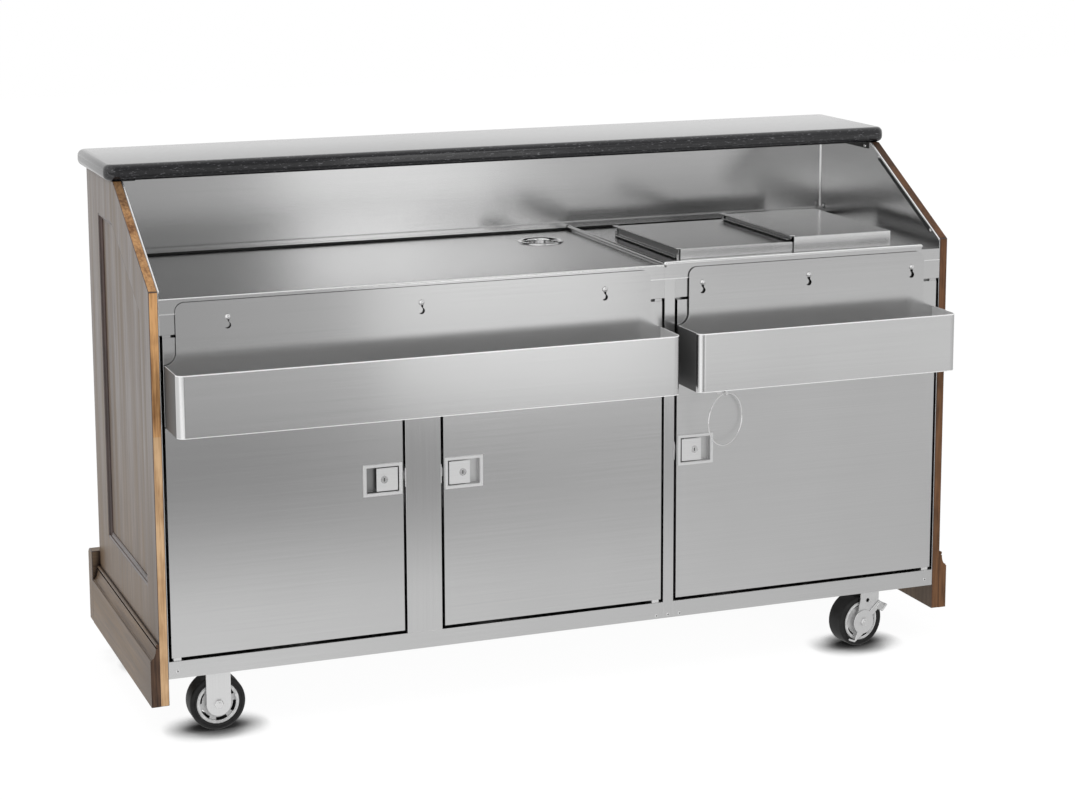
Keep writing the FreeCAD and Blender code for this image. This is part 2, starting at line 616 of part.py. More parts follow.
HEAD = [(deep, up) for up, deep in channel("header_bottom", WORK_UNDER)]
left_head = prism("yz", HEAD, "%s + %s" % (POST_LOW, WALL), (LEFT_WALL, "0", "0"))
right_head = prism("yz", HEAD, "%s - (%s)" % (WALL, POST_HIGH), (POST_HIGH, "0", "0"))
node("header", group(left_head, right_head))
stile = prism("xy", channel(STILE_LOW, STILE_HIGH), "header_bottom - base_top", ("0", "0", "base_top"))
node("centre_stile", stile)
post_low = box((POST_LOW, POST_HIGH), ("0", "sheet_thick"), ("base_bottom", "base_top"))
post_high = prism("xy", channel(POST_LOW, POST_HIGH), "%s - base_top" % WORK_UNDER, ("0", "0", "base_top"))
node("divider_post", join(post_low, post_high))

# Base: front rail in two lengths, rear rail, and two carriers for the casters
FLANGE = ("base_top - 2 * sheet_thick", "base_top - sheet_thick")


def front_rail(low, high):
    face = box((low, high), ("0", "sheet_thick"), ("base_bottom", "base_top"))
    flange = box((low, high), ("0", "sheet_thick + flange_deep"), FLANGE)
    return join(face, flange)


node("front_rail", group(front_rail(LEFT_WALL, POST_LOW), front_rail(POST_HIGH, WALL)))
rear_face = box((LEFT_WALL, WALL), ("%s - sheet_thick" % BACK_Y, BACK_Y),
                ("base_bottom", "base_top - sheet_thick"))
rear_flange = box((LEFT_WALL, WALL), ("%s - sheet_thick - flange_deep" % BACK_Y, BACK_Y), FLANGE)
node("rear_rail", join(rear_face, rear_flange))
CARRY = ("sheet_thick + flange_deep", "%s - sheet_thick - flange_deep" % BACK_Y)


def carrier(middle):
    low = "%s - carry_half" % middle
    high = "%s + carry_half" % middle
    web = box((low, high), CARRY, ("mount_z", "mount_z + carry_thick"))
    side_low = box((low, "%s + carry_thick" % low), CARRY, ("mount_z", "base_top - sheet_thick"))
    side_high = box(("%s - carry_thick" % high, high), CARRY, ("mount_z", "base_top - sheet_thick"))
    return join(web, side_low, side_high)


node("caster_carriers", group(carrier(RIGID_X), carrier(SWIVEL_X)))

# Doors and the fixed panels above them, behind the speed rails
DOOR_LOW = "base_top + door_foot"
DOOR_TOP = "rail_floor - swing_gap"
UPPER_LOW = "%s + split_gap" % DOOR_TOP
UPPER_TOP = "header_bottom - head_gap"
SPANS = {
    "left": ("%s + door_gap" % LEFT_WALL, "%s - door_gap" % STILE_LOW),
    "middle": ("%s + door_gap" % STILE_HIGH, "%s - door_gap" % POST_LOW),
    "right": ("%s + door_gap" % POST_HIGH, "%s - door_gap" % WALL),
}


def upper_panel(low, high, tab_low):
    back = ("frame_deep", "frame_deep + sheet_thick")
    parts = [
        box((low, high), ("0", "sheet_thick"), (UPPER_LOW, UPPER_TOP)),
        box((low, "%s + sheet_thick" % low), FACE, (UPPER_LOW, UPPER_TOP)),
        box(("%s - sheet_thick" % high, high), FACE, (UPPER_LOW, UPPER_TOP)),
        box((low, high), FACE, (UPPER_LOW, "%s + sheet_thick" % UPPER_LOW)),
        box((low, high), FACE, ("%s - sheet_thick" % UPPER_TOP, UPPER_TOP)),
        box((low, high), back, (UPPER_LOW, "%s + frame_deep" % UPPER_TOP)),
        box((tab_low, "%s + tab_wide" % tab_low), ("sheet_thick", "frame_deep"),
            (UPPER_TOP, "header_bottom")),
    ]
    return join(*parts)


node("upper_panels", group(
    upper_panel(*SPANS["left"], SPANS["left"][0]),
    upper_panel(*SPANS["middle"], "%s - tab_wide" % SPANS["middle"][1]),
    upper_panel(*SPANS["right"], "%s - tab_wide" % SPANS["right"][1])))

PIVOTS = {
    "left": "%s + pivot_in" % SPANS["left"][0],
    "middle": "%s - pivot_in" % SPANS["middle"][1],
    "right": "%s - pivot_in" % SPANS["right"][1],
}
# The latch side runs toward +X on the left door and toward -X on the other two
BEZELS = {
    "left": ("%s - bezel_edge - bezel_wide" % SPANS["left"][1], "%s - bezel_edge" % SPANS["left"][1]),
    "middle": ("%s + bezel_edge" % SPANS["middle"][0], "%s + bezel_edge + bezel_wide" % SPANS["middle"][0]),
    "right": ("%s + bezel_edge" % SPANS["right"][0], "%s + bezel_edge + bezel_wide" % SPANS["right"][0]),
}
TRAY_Z = ("latch_z - bezel_tall / 2 + tray_in", "latch_z + bezel_tall / 2 - tray_in")
BOLT_Y = ("tray_deep + guide_wall", "tray_deep + guide_wall + bolt_thick")
BOLT_Z = ("latch_z - bolt_half", "latch_z + bolt_half")


def grown(span, gap):
    return ("%s - %s" % (span[0], gap), "%s + %s" % (span[1], gap))


def tray_span(side):
    low, high = BEZELS[side]
    return ("%s + tray_in" % low, "%s - tray_in" % high)


def bolt_span(side):
    low, high = SPANS[side]
    if side == "left":
        return ("%s - bolt_long" % high, "%s + bolt_nose" % high)
    return ("%s - bolt_nose" % low, "%s + bolt_long" % low)


def door(side):
    low, high = SPANS[side]
    shell = box((low, high), ("0", "door_deep"), (DOOR_LOW, DOOR_TOP))
    inside = box(("%s + sheet_thick" % low, "%s - sheet_thick" % high), ("sheet_thick", "door_deep + past"),
                 ("%s + sheet_thick" % DOOR_LOW, "%s - sheet_thick" % DOOR_TOP))
    window = box(grown(tray_span(side), "fit_gap"), ("-past", "sheet_thick + past"), grown(TRAY_Z, "fit_gap"))
    slot = box(grown(bolt_span(side), "fit_gap"), grown(BOLT_Y, "fit_gap"), grown(BOLT_Z, "fit_gap"))
    pivot = rod("pivot_radius + run_gap", "rail_top", (PIVOTS[side], "pivot_deep", "base_bottom"), "z")
    return cut(shell, inside, window, slot, pivot)


for side in ("left", "middle", "right"):
    node("%s_door" % side, door(side))

# Door pivots: a block and pin under each door and a pin over it
pins = []
for side in ("left", "middle", "right"):
    axis = PIVOTS[side]
    block = box(("%s - pivot_block" % axis, "%s + pivot_block" % axis),
                ("pivot_deep - block_half", "pivot_deep + block_half"),
                ("base_top", "%s - fit_gap" % DOOR_LOW))
    lower = rod("pivot_radius", "door_foot + pivot_reach", (axis, "pivot_deep", "base_top"), "z")
    pins.append(join(block, lower))
    pins.append(rod("pivot_radius", "split_gap + pivot_reach",
                    (axis, "pivot_deep", "%s - pivot_reach" % DOOR_TOP), "z"))
node("door_pivots", group(*pins))


# Latches: tray with its hinge pin and bolt guides, paddle with lock, and bolt
def latch(side):
    low, high = BEZELS[side]
    tray_low, tray_high = tray_span(side)
    plate = box((low, high), ("-bezel_thick", "0"), ("latch_z - bezel_tall / 2", "latch_z + bezel_tall / 2"))
    shell = box((tray_low, tray_high), ("0", "tray_deep"), TRAY_Z)
    pit = box(("%s + tray_wall" % tray_low, "%s - tray_wall" % tray_high),
              ("-bezel_thick - past", "tray_deep - tray_wall"),
              ("%s + tray_wall" % TRAY_Z[0], "%s - tray_wall" % TRAY_Z[1]))
    if side == "left":
        hinge = "%s - tray_wall - paddle_gap - barrel_radius" % tray_high
        guide = ("%s - guide_long" % tray_high, tray_high)
        paddle_x = ("%s - paddle_wide + barrel_radius" % hinge, hinge)
        lock_x = "%s - paddle_wide / 2 + lock_off" % hinge
    else:
        hinge = "%s + tray_wall + paddle_gap + barrel_radius" % tray_low
        guide = (tray_low, "%s + guide_long" % tray_low)
        paddle_x = (hinge, "%s + paddle_wide - barrel_radius" % hinge)
        lock_x = "%s + paddle_wide / 2 - lock_off" % hinge
    guide_y = ("tray_deep", "tray_deep + guide_wall + bolt_thick")
    over = "latch_z + bolt_half + slide_gap"
    below = "latch_z - bolt_half - slide_gap"
    above = box(guide, guide_y, (over, "%s + guide_wall" % over))
    under = box(guide, guide_y, ("%s - guide_wall" % below, below))
    tray = join(cut(join(plate, shell), pit), above, under)
    pin_z = "%s + tray_wall" % TRAY_Z[0]
    pin_long = "%s - (%s) - 2 * tray_wall" % (TRAY_Z[1], TRAY_Z[0])
    hinge_y = "paddle_thick - bezel_thick"
    pin = rod("hinge_pin", pin_long, (hinge, hinge_y, pin_z), "z")
    node("%s_latch_tray" % side, group(tray, pin))
    pad_z = ("%s + paddle_gap" % pin_z, "%s - tray_wall - paddle_gap" % TRAY_Z[1])
    plate_y = ("-bezel_thick", "paddle_thick - bezel_thick")
    pad = box(paddle_x, plate_y, pad_z)
    barrel = rod("barrel_radius", "%s - (%s)" % (pad_z[1], pad_z[0]), (hinge, hinge_y, pad_z[0]), "z")
    clear = rod("hinge_pin + run_gap", "bezel_tall", (hinge, hinge_y, "latch_z - bezel_tall / 2"), "z")
    lock = rod("lock_radius", "lock_proud + paddle_thick",
               (lock_x, "-bezel_thick - lock_proud", "latch_z"), "y")
    key = box(("%s - lock_slot / 2" % lock_x, "%s + lock_slot / 2" % lock_x),
              ("-bezel_thick - lock_proud - past", "-bezel_thick"),
              ("latch_z - lock_radius / 2", "latch_z + lock_radius / 2"))
    node("%s_paddle" % side, cut(join(pad, barrel, lock), clear, key))
    node("%s_bolt" % side, box(bolt_span(side), BOLT_Y, BOLT_Z))


for side in ("left", "middle", "right"):
    latch(side)

# Strikes on the stile and post, just past the bolt noses
STRIKE_Z = ("latch_z - strike_half", "latch_z + strike_half")
node("strikes", group(
    box(("%s - strike_thick" % STILE_LOW, STILE_LOW), FACE, STRIKE_Z),
    box((STILE_HIGH, "%s + strike_thick" % STILE_HIGH), FACE, STRIKE_Z),
    box((POST_HIGH, "%s + strike_thick" % POST_HIGH), FACE, STRIKE_Z)))


# Speed rails: a folded trough under a tall back plate with keyholes
def rounded_block(x, y, z, radius):
    low, high = x
    front, back = y
    tall = "(%s) - (%s)" % (z[1], z[0])
    return join(
        box(("%s + %s" % (low, radius), "%s - (%s)" % (high, radius)), y, z),
        box(x, ("%s + %s" % (front, radius), back), z),
        rod(radius, tall, ("%s + %s" % (low, radius), "%s + %s" % (front, radius), z[0]), "z"),
        rod(radius, tall, ("%s - (%s)" % (high, radius), "%s + %s" % (front, radius), z[0]), "z"))


def stud_places(low, high, inset):
    return ["%s + %s" % (low, inset), "(%s + %s) / 2" % (low, high), "%s - %s" % (high, inset)]


def speed_rail(low, high, inset):
    front = "-plate_off - rail_deep"
    trough = cut(
        rounded_block((low, high), (front, "-plate_off"), ("rail_floor", "rail_top"), "rail_round"),
        rounded_block(("%s + rail_thick" % low, "%s - rail_thick" % high),
                      ("%s + rail_thick" % front, "-plate_off - rail_thick"),
                      ("rail_floor + rail_thick", "rail_top + past"), "rail_round - rail_thick"))
    plate_y = ("-plate_off - rail_thick", "-plate_off")
    left = "%s + plate_in" % low
    right = "%s - plate_in" % high
    shoulder = "plate_top - plate_round"
    plate = [
        box((left, right), plate_y, ("rail_floor", shoulder)),
        box(("%s + plate_round" % left, "%s - plate_round" % right), plate_y, ("rail_floor", "plate_top")),
        rod("plate_round", "rail_thick", ("%s + plate_round" % left, plate_y[0], shoulder), "y"),
        rod("plate_round", "rail_thick", ("%s - plate_round" % right, plate_y[0], shoulder), "y"),
    ]
    for edge, inner in ((low, left), (high, right)):
        span = (edge, inner) if edge == low else (inner, edge)
        wing = box(span, plate_y, ("rail_top - rail_thick", "rail_top + plate_in"))
        bite = rod("plate_in", "rail_thick + 2 * past",
                   (edge, "%s - past" % plate_y[0], "rail_top + plate_in"), "y")
        plate.append(cut(wing, bite))
    keys = []
    for x in stud_places(low, high, inset):
        deep = ("%s - past" % plate_y[0], "past - plate_off")
        keys.append(rod("slot_radius", "rail_thick + 2 * past", (x, deep[0], "stud_z"), "y"))
        keys.append(box(("%s - slot_radius" % x, "%s + slot_radius" % x), deep,
                        ("stud_z - key_drop", "stud_z")))
        keys.append(rod("hole_radius", "rail_thick + 2 * past", (x, deep[0], "stud_z - key_drop"), "y"))
    return cut(join(trough, *plate), *keys)


LONG = ("%s + long_in" % LEFT_WALL, "%s - long_off" % POST_LOW, "stud_long_in")
SHORT = ("%s + short_off" % POST_HIGH, "%s - short_in" % WALL, "stud_short_in")
node("long_speed_rail", speed_rail(*LONG))
node("short_speed_rail", speed_rail(*SHORT))

# Hanging studs on the header: shank and round head
HEAD_AT = "-plate_off - rail_thick - slide_gap"
STUD = [("0", "0"), ("stud_radius", "0"), ("stud_radius", HEAD_AT), ("stud_head", HEAD_AT),
        ("stud_head", "%s - stud_cap / 2" % HEAD_AT), ("stud_head / 2", "%s - stud_cap" % HEAD_AT),
        ("0", "%s - stud_cap" % HEAD_AT)]
studs = []
for rail in (LONG, SHORT):
    for x in stud_places(*rail):
        studs.append(spin("xy", STUD, (x, "0", "stud_z")))
node("hanging_studs", group(*studs))

# Towel ring hanging from an eye on the right door
RING_X = "%s + ring_in" % POST_HIGH
EYE_X = ("%s - eye_thick / 2" % RING_X, "%s + eye_thick / 2" % RING_X)
eye_plate = rod("eye_radius", "eye_thick", (EYE_X[0], "-eye_out", "eye_z"), "x")
eye_arm = box(EYE_X, ("eye_radius / 2 - eye_out", "-sheet_thick"),
              ("eye_z - eye_thick / 2", "eye_z + eye_thick / 2"))
eye_foot = rod("eye_foot", "sheet_thick", (RING_X, "-sheet_thick", "eye_z"), "y")
eye_hole = rod("eye_bore", "eye_thick + 2 * past", ("%s - past" % EYE_X[0], "-eye_out", "eye_z"), "x")
node("ring_eye", cut(join(eye_plate, eye_arm, eye_foot), eye_hole))
ring = doc.addObject("Part::Torus", "Ring")
bind(ring, "Radius1", "ring_radius")
bind(ring, "Radius2", "ring_wire")
ring.Placement = FreeCAD.Placement(FreeCAD.Vector(), TURN["y"])
turned_ring = group(ring)
turned_ring.Placement = FreeCAD.Placement(FreeCAD.Vector(), FreeCAD.Rotation(FreeCAD.Vector(0, 0, 1), 1))
bind(turned_ring, "Placement.Rotation.Angle", "ring_turn")
place(turned_ring, RING_X, "-eye_out", "eye_z - eye_bore + hang_gap + ring_wire - ring_radius")
node("towel_ring", turned_ring)


# Casters: rigid pair at the left, braked swivel pair at the right
def tyre(x, y):
    half = "tread_half"
    points = [("tyre_inner", "-%s" % half), ("wheel_radius - tyre_chamfer", "-%s" % half),
              ("wheel_radius", "tyre_chamfer - %s" % half), ("wheel_radius", "%s - tyre_chamfer" % half),
              ("wheel_radius - tyre_chamfer", half), ("tyre_inner", half)]
    return spin("xy", points, (x, y, "wheel_radius"))


VENTS = 6


def core(x, y):
    bore = "axle_radius + run_gap"
    points = [(bore, "-hub_half"), ("hub_radius", "-hub_half"), ("hub_radius", "-web_half"),
              ("rim_inner", "-web_half"), ("rim_inner", "-core_half"), ("tyre_inner", "-core_half"),
              ("tyre_inner", "core_half"), ("rim_inner", "core_half"), ("rim_inner", "web_half"),
              ("hub_radius", "web_half"), ("hub_radius", "hub_half"), (bore, "hub_half")]
    wheel = spin("xy", points, (x, y, "wheel_radius"))
    start = (x, "%s - tread_half" % y, "wheel_radius")
    vents = []
    for n in range(VENTS):
        vent = rod("rim_inner", "2 * tread_half", start, "y")
        vent.Placement.Rotation = TURN["y"] * FreeCAD.Rotation(FreeCAD.Vector(0, 0, 1), 360.0 * n / VENTS)
        bind(vent, "Angle", "vent_sweep")
        vents.append(vent)
    return cut(wheel, cut(group(*vents), rod("vent_inner", "2 * tread_half", start, "y")))


LEG_IN = "hub_half + leg_gap"
LEG_OUT = "hub_half + leg_gap + leg_thick"
HEAD_OUT = "%s + brake_gap + brake_thick + brake_gap" % LEG_OUT


def axle(x, y, near):
    points = [("0", "-(%s) - axle_cap" % near), ("axle_head", "-(%s) - axle_cap" % near),
              ("axle_head", "-(%s)" % near), ("axle_radius", "-(%s)" % near),
              ("axle_radius", LEG_OUT), ("axle_head", LEG_OUT),
              ("axle_head", "%s + axle_cap" % LEG_OUT), ("0", "%s + axle_cap" % LEG_OUT)]
    return spin("xy", points, (x, y, "wheel_radius"))


def mount_plate(x, y):
    return box(("%s - mount_half" % x, "%s + mount_half" % x), ("%s - mount_side" % y, "%s + mount_side" % y),
               ("mount_z - mount_thick", "mount_z"))


def legs(x, y, points):
    near = prism("xz", points, "leg_thick", (x, "%s - (%s)" % (y, LEG_IN), "0"))
    far = prism("xz", points, "leg_thick", (x, "%s + %s" % (y, LEG_OUT), "0"))
    return near, far


def rigid_fork(y):
    x = RIGID_X
    points = [("-leg_half", "mount_z - mount_thick"), ("-leg_half", "wheel_radius"),
              ("leg_half", "wheel_radius"), ("leg_half", "mount_z - mount_thick")]
    near, far = legs(x, y, points)
    feet = [rod("leg_half", "leg_thick", (x, "%s - (%s)" % (y, LEG_OUT), "wheel_radius"), "y"),
            rod("leg_half", "leg_thick", (x, "%s + %s" % (y, LEG_IN), "wheel_radius"), "y")]
    hole = rod("axle_radius", "2 * (%s) + 2 * past" % LEG_OUT,
               (x, "%s - (%s) - past" % (y, LEG_OUT), "wheel_radius"), "y")
    return cut(join(mount_plate(x, y), near, far, *feet), hole)


node("rigid_forks", group(rigid_fork(FRONT), axle(RIGID_X, FRONT, LEG_OUT),
                          rigid_fork(REAR), axle(RIGID_X, REAR, LEG_OUT)))

RACE_LOW = "mount_z - mount_thick - race_tall"
CROWN_TOP = "%s - race_gap" % RACE_LOW
CROWN_LOW = "%s - crown_thick" % CROWN_TOP


def swivel_plate(y):
    x = SWIVEL_X
    race = rod("race_radius", "race_tall", (x, y, RACE_LOW), "z")
    king = rod("king_radius", "race_gap + crown_thick + race_gap", (x, y, "%s - race_gap" % CROWN_LOW), "z")
    return join(mount_plate(x, y), race, king)


node("swivel_plates", group(swivel_plate(FRONT), swivel_plate(REAR)))
AXLE_X = "%s - trail" % SWIVEL_X


def swivel_fork(y):
    x = SWIVEL_X
    crown = box(("%s - crown_half" % x, "%s + crown_half" % x),
                ("%s - (%s)" % (y, LEG_OUT), "%s + %s" % (y, LEG_OUT)), (CROWN_LOW, CROWN_TOP))
    points = [("-crown_half", CROWN_TOP), ("-trail - leg_foot", "wheel_radius"),
              ("leg_foot - trail", "wheel_radius"), ("crown_half", "wheel_radius + leg_knee"),
              ("crown_half", CROWN_TOP)]
    near, far = legs(x, y, points)
    feet = [rod("leg_foot", "leg_thick", (AXLE_X, "%s - (%s)" % (y, LEG_OUT), "wheel_radius"), "y"),
            rod("leg_foot", "leg_thick", (AXLE_X, "%s + %s" % (y, LEG_IN), "wheel_radius"), "y")]
    through = "2 * (%s) + 2 * past" % LEG_OUT
    start_y = "%s - (%s) - past" % (y, LEG_OUT)
    hole = rod("axle_radius", through, (AXLE_X, start_y, "wheel_radius"), "y")
    eyelet = rod("leg_hole", through,
                 ("%s - leg_hole_back" % x, start_y, "%s - leg_hole_down" % CROWN_LOW), "y")
    king = rod("king_radius + run_gap", "crown_thick + 2 * past", (x, y, "%s - past" % CROWN_LOW), "z")
    return group(cut(join(crown, near, far, *feet), hole, eyelet, king), axle(AXLE_X, y, HEAD_OUT))


def brake(y):
    face = "%s - (%s) - brake_gap" % (y, LEG_OUT)
    near = "%s - brake_thick" % face
    plate = rod("brake_eye", "brake_thick", (AXLE_X, near, "wheel_radius"), "y")
    start = (AXLE_X, face, "wheel_radius")
    arm = prism("xz", [("-arm_half", "arm_half"), ("arm_half", "-arm_half"),
                       ("pedal_out + arm_half", "pedal_up - arm_half"),
                       ("pedal_out - arm_half", "pedal_up + arm_half")], "brake_thick", start)
    tab = prism("xz", [("0", "0"), ("-brake_eye / 2", "-brake_eye / 2"),
                       ("-heel_back", "tab_tall - heel_down"), ("-toe_back", "tab_tall - toe_down"),
                       ("-toe_back", "-toe_down"), ("-heel_back", "-heel_down"), ("0", "-brake_eye")],
                "brake_thick", start)
    half = "brake_thick / 2"
    pedal = prism("xz", [("pedal_out - pedal_run - %s" % half, "pedal_up - pedal_run + %s" % half),
                         ("pedal_out - pedal_run + %s" % half, "pedal_up - pedal_run - %s" % half),
                         ("pedal_out + %s" % half, "pedal_up - %s" % half),
                         ("pedal_out - %s" % half, "pedal_up + %s" % half)],
                  "brake_thick + pedal_wide", start)
    hole = rod("axle_radius + run_gap", "brake_thick + 2 * past",
               (AXLE_X, "%s - past" % near, "wheel_radius"), "y")
    return cut(join(plate, arm, tab, pedal), hole)


# Everything under a swivel plate stands turned about the king pin
def turned(thing, y):
    whole = group(thing)
    whole.Placement = FreeCAD.Placement(FreeCAD.Vector(), FreeCAD.Rotation(FreeCAD.Vector(0, 0, 1), 1))
    bind(whole, "Placement.Rotation.Angle", "swivel_turn")
    across = bound("(%s)" % SWIVEL_X)
    along = bound("(%s - %s)" % (y, MID))
    cosine = "cos(Sizes.swivel_turn * 1deg)"
    sine = "sin(Sizes.swivel_turn * 1deg)"
    whole.setExpression("Placement.Base.x", "%s - %s * %s + %s * %s" % (across, across, cosine, along, sine))
    whole.setExpression("Placement.Base.y", "%s - %s * %s - %s * %s" % (along, across, sine, along, cosine))
    return whole


for name, y in (("front", FRONT), ("rear", REAR)):
    node("%s_swivel_fork" % name, turned(swivel_fork(y), y))
    node("%s_brake" % name, turned(brake(y), y))
    node("%s_swivel_tyre" % name, turned(tyre(AXLE_X, y), y))
    node("%s_swivel_core" % name, turned(core(AXLE_X, y), y))
    node("%s_rigid_tyre" % name, tyre(RIGID_X, y))
    node("%s_rigid_core" % name, core(RIGID_X, y))

doc.recompute()

# Check every object, then write one file for each piece
bad = [o.Name for o in doc.Objects if "Invalid" in o.State or "Error" in o.State]
if bad:
    raise SystemExit("objects with errors: %s" % bad)
os.makedirs("parts", exist_ok=True)
for thing in NODES:
    shape = thing.Shape
    if shape.isNull() or not shape.isValid():
        raise SystemExit("bad shape: %s" % thing.Label)
    shape.exportStep("parts/%s.step" % thing.Label)
    b = shape.BoundBox
    print(thing.Label, len(shape.Solids), round(shape.Volume),
          [round(v, 1) for v in (b.XMin, b.XMax, b.YMin, b.YMax, b.ZMin, b.ZMax)])
print(len(NODES), "pieces")
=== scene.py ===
import json
import math
from contextlib import contextmanager

import bmesh
import bpy
from mathutils import Matrix, Vector

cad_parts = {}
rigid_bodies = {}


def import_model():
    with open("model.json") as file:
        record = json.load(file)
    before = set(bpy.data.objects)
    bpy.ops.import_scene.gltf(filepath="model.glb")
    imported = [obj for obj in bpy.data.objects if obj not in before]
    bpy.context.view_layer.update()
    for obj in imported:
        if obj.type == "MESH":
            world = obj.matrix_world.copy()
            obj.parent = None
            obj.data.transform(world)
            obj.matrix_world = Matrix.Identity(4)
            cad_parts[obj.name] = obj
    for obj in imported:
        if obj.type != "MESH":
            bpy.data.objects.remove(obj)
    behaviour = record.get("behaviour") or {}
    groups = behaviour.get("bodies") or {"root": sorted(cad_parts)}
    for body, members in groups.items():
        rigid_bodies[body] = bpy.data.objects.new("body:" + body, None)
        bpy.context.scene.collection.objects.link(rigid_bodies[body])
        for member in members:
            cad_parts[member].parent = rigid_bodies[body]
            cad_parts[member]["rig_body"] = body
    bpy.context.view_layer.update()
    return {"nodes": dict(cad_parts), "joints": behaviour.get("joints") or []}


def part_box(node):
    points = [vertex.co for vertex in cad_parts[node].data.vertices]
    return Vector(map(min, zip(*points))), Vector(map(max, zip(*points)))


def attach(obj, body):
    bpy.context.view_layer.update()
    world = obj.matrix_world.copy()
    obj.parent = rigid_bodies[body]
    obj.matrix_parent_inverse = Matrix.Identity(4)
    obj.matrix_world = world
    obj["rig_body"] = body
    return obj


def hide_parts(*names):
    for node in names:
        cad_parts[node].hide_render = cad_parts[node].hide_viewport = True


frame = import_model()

# Side panels: solid boards with a sunk field, stained grey-brown and satin lacquered.
# Their front edges are faced with strips of bare wood, butted together below the speed rails.
# Screws through the steel liners hold the boards from inside the cabinet.
WELD = 1e-6
FLAT = math.radians(0.4)
SHARP = math.radians(32)
EDGE_SEGMENTS = 2
FLAT_WEIGHT = 100


def linked(name, mesh):
    """An object for a mesh, shaded smooth apart from its real corners."""
    mesh.shade_smooth()
    mesh.set_sharp_from_angle(angle=SHARP)
    piece = bpy.data.objects.new(name, mesh)
    bpy.context.scene.collection.objects.link(piece)
    return piece


@contextmanager
def reworked(mesh):
    """Opens a mesh for changes to its points and faces."""
    work = bmesh.new()
    work.from_mesh(mesh)
    yield work
    work.to_mesh(mesh)
    work.free()


def cleaned(node, name, material):
    """A piece with the shape of a CAD node, its flat faces whole again."""
    mesh = frame["nodes"][node].data.copy()
    mesh.name = name
    mesh.materials.clear()
    mesh.materials.append(material)
    with reworked(mesh) as work:
        bmesh.ops.remove_doubles(work, verts=work.verts, dist=WELD)
        bmesh.ops.dissolve_limit(work, angle_limit=FLAT, verts=work.verts, edges=work.edges)
    return linked(name, mesh)


def coat_number(piece, material):
    """The number of a material on a piece, which takes it on if it is new there."""
    coats = piece.data.materials
    if material.name not in coats:
        coats.append(material)
    return coats.find(material.name)


def ease_edges(piece, width, edge_material=None):
    """Rounds the sharp edges of a piece, and gives the rounding a material of its own if one is named."""
    bevel = piece.modifiers.new("eased edges", "BEVEL")
    bevel.width = width
    bevel.segments = EDGE_SEGMENTS
    bevel.limit_method = "ANGLE"
    bevel.angle_limit = SHARP
    if edge_material:
        bevel.material = coat_number(piece, edge_material)
    flat = piece.modifiers.new("flat faces", "WEIGHTED_NORMAL")
    flat.mode = "FACE_AREA"
    flat.weight = FLAT_WEIGHT
    flat.keep_sharp = True


def stand_for(piece, node):
    """The piece takes the place of a CAD node, on the node's body."""
    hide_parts(node)
    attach(piece, frame["nodes"][node]["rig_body"])


def built(name, points, faces, material):
    """A new piece from points and faces."""
    mesh = bpy.data.meshes.new(name)
    mesh.from_pydata(points, [], faces)
    mesh.materials.append(material)
    with reworked(mesh) as work:
        bmesh.ops.remove_doubles(work, verts=work.verts, dist=WELD)
        bmesh.ops.recalc_face_normals(work, faces=work.faces)
    return linked(name, mesh)


def joined(shapes):
    """Points and faces of several shapes as one shape."""
    points, faces = [], []
    for more_points, more_faces in shapes:
        faces += [tuple(n + len(points) for n in ring) for ring in more_faces]
        points += more_points
    return points, faces


def added(piece, body):
    """A piece of its own, on a body."""
    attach(piece, body)


def new_material(name):
    material = bpy.data.materials.new(name)
    material.use_nodes = True
    return material


def link_or_set(owner, socket, value):
    if isinstance(value, bpy.types.NodeSocket):
        owner.node_tree.links.new(value, socket)
    else:
        socket.default_value = value


def shade(owner, kind, settings=None, **inputs):
    """A new shader node in a material or world, with its inputs set to values or linked to sockets."""
    made = owner.node_tree.nodes.new("ShaderNode" + kind)
    for key, value in (settings or {}).items():
        setattr(made, key, value)
    for key, value in inputs.items():
        link_or_set(owner, made.inputs[key.replace("_", " ")], value)
    return made


def finish_with(material, **inputs):
    """Sets or links the inputs of the material's own shader."""
    shader = material.node_tree.nodes["Principled BSDF"]
    for key, value in inputs.items():
        link_or_set(material, shader.inputs[key.replace("_", " ")], value)


def streaks(material, spacing, detail=3.0, rough=0.55):
    """Noise whose features have the given size in metres along X, Y and Z."""
    place = shade(material, "TexCoord").outputs["Object"]
    sized = shade(material, "Mapping", Vector=place, Scale=[1 / size for size in spacing])
    noise = shade(material, "TexNoise", Vector=sized.outputs["Vector"], Scale=1.0,
                  Detail=detail, Roughness=rough)
    return noise.outputs["Fac"]


def ramp(material, value, stops):
    """Colours at positions along a value from 0 to 1."""
    made = shade(material, "ValToRGB", Fac=value)
    points = made.color_ramp.elements
    while len(points) < len(stops):
        points.new(0.5)
    for point, (position, colour) in zip(points, stops):
        point.position = position
        point.color = (*colour, 1.0)
    return made.outputs["Color"]


def grey_ramp(material, value, *stops):
    return ramp(material, value, [(position, (tone,) * 3) for position, tone in stops])


MIX_SHARE = 0
MIX_FIRST = 6
MIX_SECOND = 7
MIX_COLOUR = 2


def mixed(material, share, first, second, way="MIX"):
    """Two colours mixed by a share from 0 to 1, with the node's colour sockets found by number."""
    made = shade(material, "Mix", {"data_type": "RGBA", "blend_type": way})
    for socket, value in ((MIX_SHARE, share), (MIX_FIRST, first), (MIX_SECOND, second)):
        link_or_set(material, made.inputs[socket], value)
    return made.outputs[MIX_COLOUR]


def spread(owner, value, low, high, start=0.0, end=1.0):
    """A value between start and end stretched to run from low to high."""
    made = shade(owner, "MapRange", Value=value, From_Min=start, From_Max=end,
                 To_Min=low, To_Max=high)
    return made.outputs["Result"]


def bumped(material, height, strength, distance):
    made = shade(material, "Bump", Height=height, Strength=strength, Distance=distance)
    return made.outputs["Normal"]


def place_along(material, axis):
    """The place along X, Y or Z, in metres."""
    place = shade(material, "TexCoord").outputs["Object"]
    return shade(material, "SeparateXYZ", Vector=place).outputs[axis]


